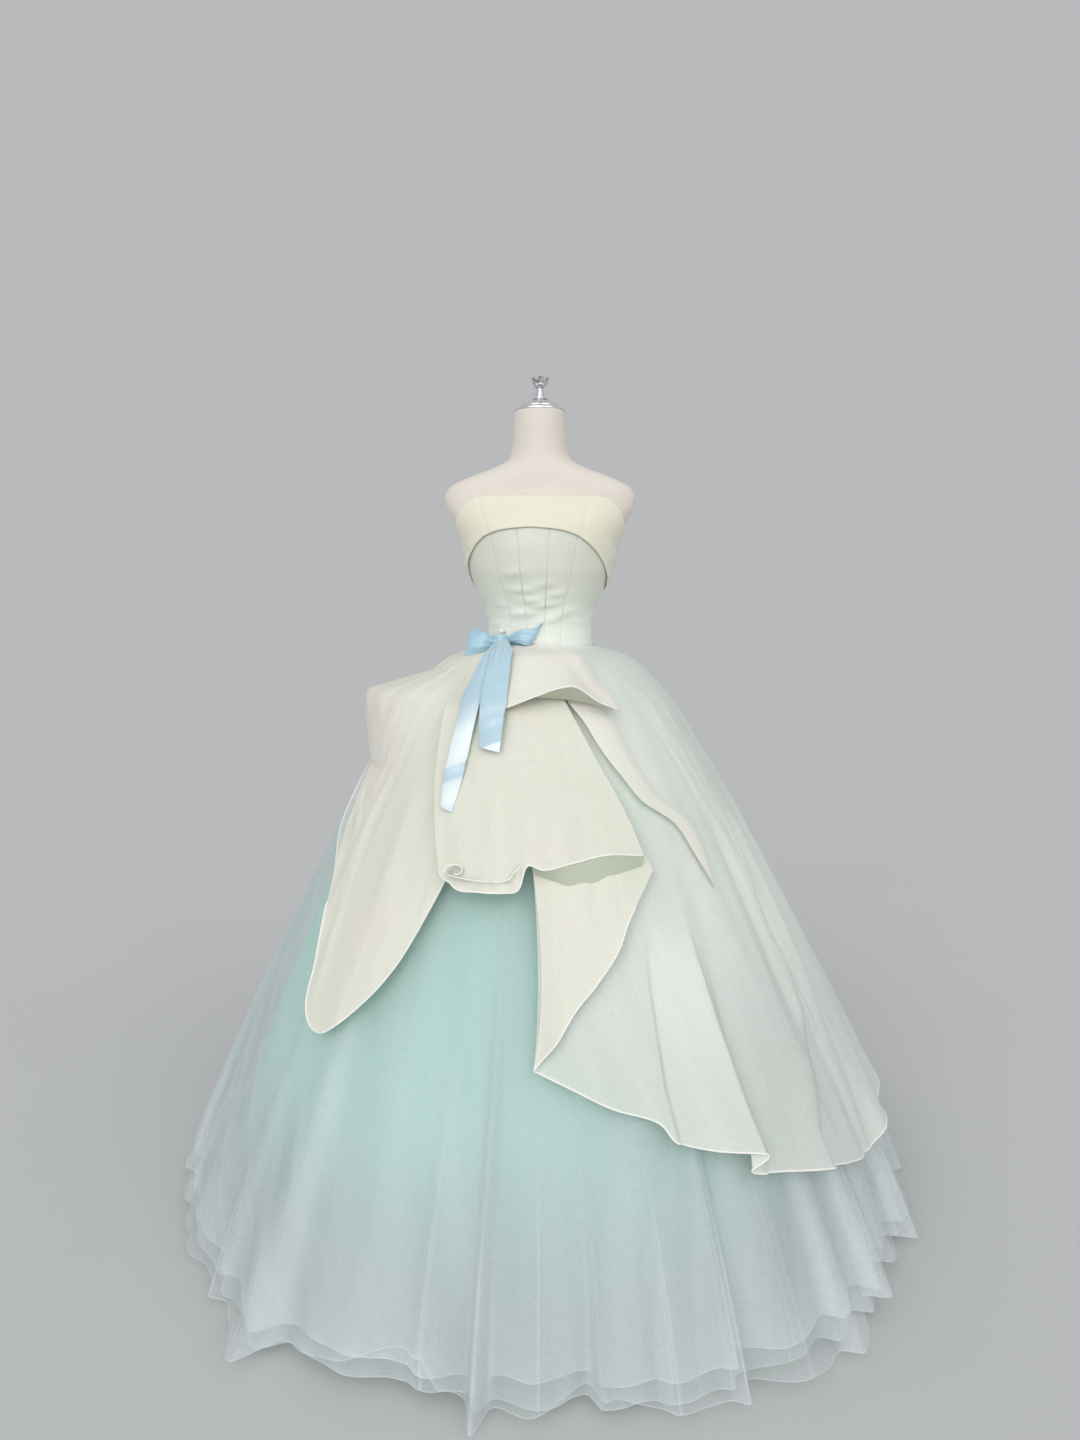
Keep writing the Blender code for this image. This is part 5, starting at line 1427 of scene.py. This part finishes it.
# ---------------------------------------------------------------- bow
# A ribbon of pale blue satin is tied over the gathers at the left of the waist: two loops, a pleated
# knot, and two tails of unlike length with slanting ends. A pearl sits above the knot.
KNOT_DEG = -44.0
KNOT_HALF_SIZE = (0.0160, 0.0125, 0.0130)
KNOT_LOW, KNOT_FORWARD = 0.0060, 0.0040  # the ribbon sits this much below and in front of its middle
KNOT_HEIGHT = 1.0785
KNOT_OFF = 0.0103  # from the bodice's face to the knot's middle
PEARL_RADIUS, PEARL_STRETCH, PEARL_CLEAR = 0.0055, 1.4, 0.0003
RIBBON_WALL = 0.0004
LOOP_STEPS, LOOP_COLUMNS = 11, 29
LOOP_BULGE = 0.0035
LOOP_CREASE = 0.0017
# Each loop's sections as (x, y, z) on its upper edge and on its lower edge. They run from the knot to
# the loop's end along the front, and back to the knot behind.
LEFT_LOOP = [
    ((-0.0808, -0.083, 1.0776), (-0.0809, -0.083, 1.0589)),
    ((-0.0905, -0.087, 1.0768), (-0.0925, -0.087, 1.0556)),
    ((-0.1079, -0.092, 1.0877), (-0.1178, -0.094, 1.0480)),
    ((-0.1337, -0.080, 1.0954), (-0.1466, -0.090, 1.0406)),
    ((-0.1333, -0.073, 1.0937), (-0.1453, -0.083, 1.0372)),
    ((-0.1088, -0.074, 1.0842), (-0.1186, -0.080, 1.0410)),
    ((-0.0910, -0.074, 1.0744), (-0.0950, -0.076, 1.0507)),
    ((-0.0811, -0.076, 1.0744), (-0.0812, -0.075, 1.0566)),
]
RIGHT_LOOP = [
    ((-0.0650, -0.083, 1.0796), (-0.0651, -0.083, 1.0599)),
    ((-0.0570, -0.088, 1.0837), (-0.0550, -0.091, 1.0691)),
    ((-0.0372, -0.096, 1.0927), (-0.0410, -0.102, 1.0664)),
    ((-0.0137, -0.099, 1.0947), (-0.0283, -0.105, 1.0630)),
    ((0.0047, -0.096, 1.1064), (-0.0211, -0.101, 1.0624)),
    ((0.0031, -0.092, 1.1024), (-0.0220, -0.095, 1.0594)),
    ((-0.0176, -0.093, 1.0907), (-0.0334, -0.090, 1.0561)),
    ((-0.0393, -0.090, 1.0847), (-0.0463, -0.086, 1.0551)),
    ((-0.0571, -0.084, 1.0767), (-0.0573, -0.081, 1.0557)),
    ((-0.0652, -0.079, 1.0755), (-0.0653, -0.077, 1.0577)),
]
LOOPS = [("bow_loop_left", LEFT_LOOP, (0.036, 0.135)), ("bow_loop_right", RIGHT_LOOP, (0.030, 0.145))]
TAIL_ROWS, TAIL_COLUMNS, TAIL_JOIN_ROWS = 90, 33, 8
TAIL_TOP_DROP = 0.003  # how far below the knot's middle the tails leave it
TAIL_CURL, TAIL_CREASE, TAIL_RUCHE, TAIL_CROWN = 0.0026, 0.0036, 0.0016, 0.0035
TAIL_CREASE_WIDTH = 0.007
SLANT = 0.006  # how much higher a crease or shine is at a tail's right edge than at its middle
# Each tail's edges as (height, degrees) rows from the knot down, and how much painted shine, a painted
# highlight, it has at a height.
LONG_TAIL = (
    np.array([
        (1.021, -27.5), (0.983, -27.5), (0.960, -28.5), (0.935, -27.5), (0.889, -26.5), (0.838, -25.5),
        (0.797, -24.5),
    ]),
    np.array([
        (1.021, -19.0), (0.983, -18.5), (0.951, -20.3), (0.903, -20.5), (0.849, -20.5), (0.790, -21.0),
    ]),
    np.array([
        (1.021, 0.20), (0.960, 0.20), (0.930, 0.55), (0.905, 1.0), (0.866, 1.0), (0.860, 0.35),
        (0.843, 0.30), (0.836, 0.8), (0.808, 1.0), (0.790, 0.6),
    ]),
)
SHORT_TAIL = (
    np.array([(1.021, -23.5), (0.985, -21.5), (0.949, -20.0), (0.920, -18.8), (0.890, -17.5)]),
    np.array([(1.021, -13.0), (0.977, -11.5), (0.941, -11.0), (0.884, -11.0)]),
    np.array([
        (1.021, 0.20), (0.950, 0.20), (0.938, 0.45), (0.920, 0.25), (0.894, 0.25), (0.8915, 1.0),
        (0.884, 1.0),
    ]),
)
# name, edges and shine, place in the stack, angles at the knot, how far forward there, width and
# length that it is cut to, height of its crease, phase of its curl
TAILS = [
    ("bow_tail_long", LONG_TAIL, 4.0, (-51.0, -40.0), -0.0060, (0.032, 0.440), 0.862, 31),
    ("bow_tail_short", SHORT_TAIL, 4.7, (-47.0, -36.0), -0.0025, (0.032, 0.370), 0.925, 33),
]
sky_blue = dyed(162, 200, 218)
shine_blue = dyed(238, 249, 250)
ribbon, ribbon_tree, ribbon_shader = new_material(
    "blue_satin", sky_blue, 0.30, Sheen_Weight=0.30, Specular_IOR_Level=0.75
)
mottled(ribbon_tree, ribbon_shader, sky_blue, 30.0, 0.03)
# painted highlight: a pale shine mixed into the ribbon's base colour, strong on the tails, a little on the
# knot, none on the loops
tinted(ribbon_tree, ribbon_shader, "painted_shine", shine_blue)
woven(ribbon_tree, ribbon_shader, 0.0004, 0.06, slub=0.05, crumple=0.10, crumple_scale=28.0)

for name, sections, cut in LOOPS:
    edges = through(sections, LOOP_STEPS)
    across = np.linspace(0, 1, LOOP_COLUMNS)[None, :, None]
    run = np.linspace(0, 2, len(edges))[:, None, None]
    along = 1 - np.abs(1 - run)
    points = between(edges[:, :1], edges[:, 1:], across)
    # creases spread from the knot and fade, and others cross the loop's end
    front = np.clip((1 - run) / 0.15, -1, 1)
    bulge = LOOP_BULGE * np.sin(np.pi * across) * np.sin(np.pi * along)
    radiating = np.cos(across * 5.2 * math.pi + 0.6) * np.exp(-along / 0.40) * ease(along / 0.04)
    tipped = np.cos(across * 2.4 * math.pi + 0.9) * ease(along)
    points[..., 1:2] -= front * (bulge + LOOP_CREASE * (radiating + 0.7 * tipped))
    loop = make_piece(
        f"{name}_ribbon", points, ribbon, [name], wall=RIBBON_WALL, values={"painted_shine": 0.0}
    )

knot_off = float(bodice_face(KNOT_HEIGHT)) + KNOT_OFF
knot_centre = form_point(KNOT_DEG, KNOT_HEIGHT, knot_off + KNOT_FORWARD)
knot_points = rounded_block((0, 0, 0), (1, 1, 1), 0, rows=48, columns=96, power=0.85)
pleats = 1 + 0.05 * np.cos(8 * knot_points[..., 0] + 3.0 * knot_points[..., 2])
knot_points = knot_points * pleats[..., None] * np.array(KNOT_HALF_SIZE)
knot_points = turned_round(knot_points, KNOT_DEG) + knot_centre
knot_points[..., 2] -= KNOT_LOW
close_poles(make_piece(
    "bow_knot_ribbon", knot_points, ribbon, ["bow_knot"], ring=True, values={"painted_shine": 0.15}
))

pearl_colour = dyed(238, 226, 220)
nacre, nacre_tree, nacre_shader = new_material("pearl_nacre", pearl_colour, 0.18, Coat_Weight=0.8)
mottled(nacre_tree, nacre_shader, pearl_colour, 400.0, 0.05)
pearl_height = KNOT_HEIGHT + KNOT_HALF_SIZE[2] - 0.3 * PEARL_RADIUS
pearl_off = float(bodice_face(pearl_height)) + PEARL_CLEAR + PEARL_RADIUS
pearl_points = rounded_block(
    form_point(KNOT_DEG, pearl_height, pearl_off),
    (PEARL_STRETCH * PEARL_RADIUS, PEARL_RADIUS, PEARL_RADIUS), 0, rows=24, columns=36, power=1.0,
)
close_poles(make_piece("bow_pearl_bead", pearl_points, nacre, ["bow_pearl"], ring=True))

for name, (left, right, shining), stack, knot_degrees, forward, cut, crease_height, phase in TAILS:
    down = np.linspace(0, 1, TAIL_ROWS)[:, None]
    share = np.linspace(0, 1, TAIL_COLUMNS)[None, :]
    spread = 2 * share - 1
    heights = between(left[0, 0], between(left[-1, 0], right[-1, 0], share), down)
    degrees = between(read(left, 1, heights), read(right, 1, heights), share)
    curl = TAIL_CURL * np.sin(7.0 * down + phase) * spread * ease(down / 0.3)
    crease = TAIL_CREASE * bell(heights - crease_height - SLANT * spread, TAIL_CREASE_WIDTH)
    ruched = TAIL_RUCHE * np.cos(5.5 * math.pi * share + 1.0) * bell(down, 0.12)
    crown = TAIL_CROWN * (1 - spread**2)
    hanging = panel_point(degrees, heights, stack, curl + crease + ruched + crown)
    top_degrees = between(*knot_degrees, share)
    top_row = form_point(top_degrees, KNOT_HEIGHT - TAIL_TOP_DROP, knot_off + forward + 0 * spread)
    way = np.linspace(0, 1, TAIL_JOIN_ROWS, endpoint=False)[:, None, None]
    joined = between(top_row, hanging[:1], way)
    # the tails' painted highlight, read by height
    shine = read(shining, 1, heights - SLANT * spread)
    tail = make_piece(
        f"{name}_ribbon", np.concatenate([joined, hanging]), ribbon, [name],
        wall=RIBBON_WALL,
        values={"painted_shine": np.clip(np.concatenate([np.zeros(joined.shape[:2]), shine]), 0, 1)},
    )
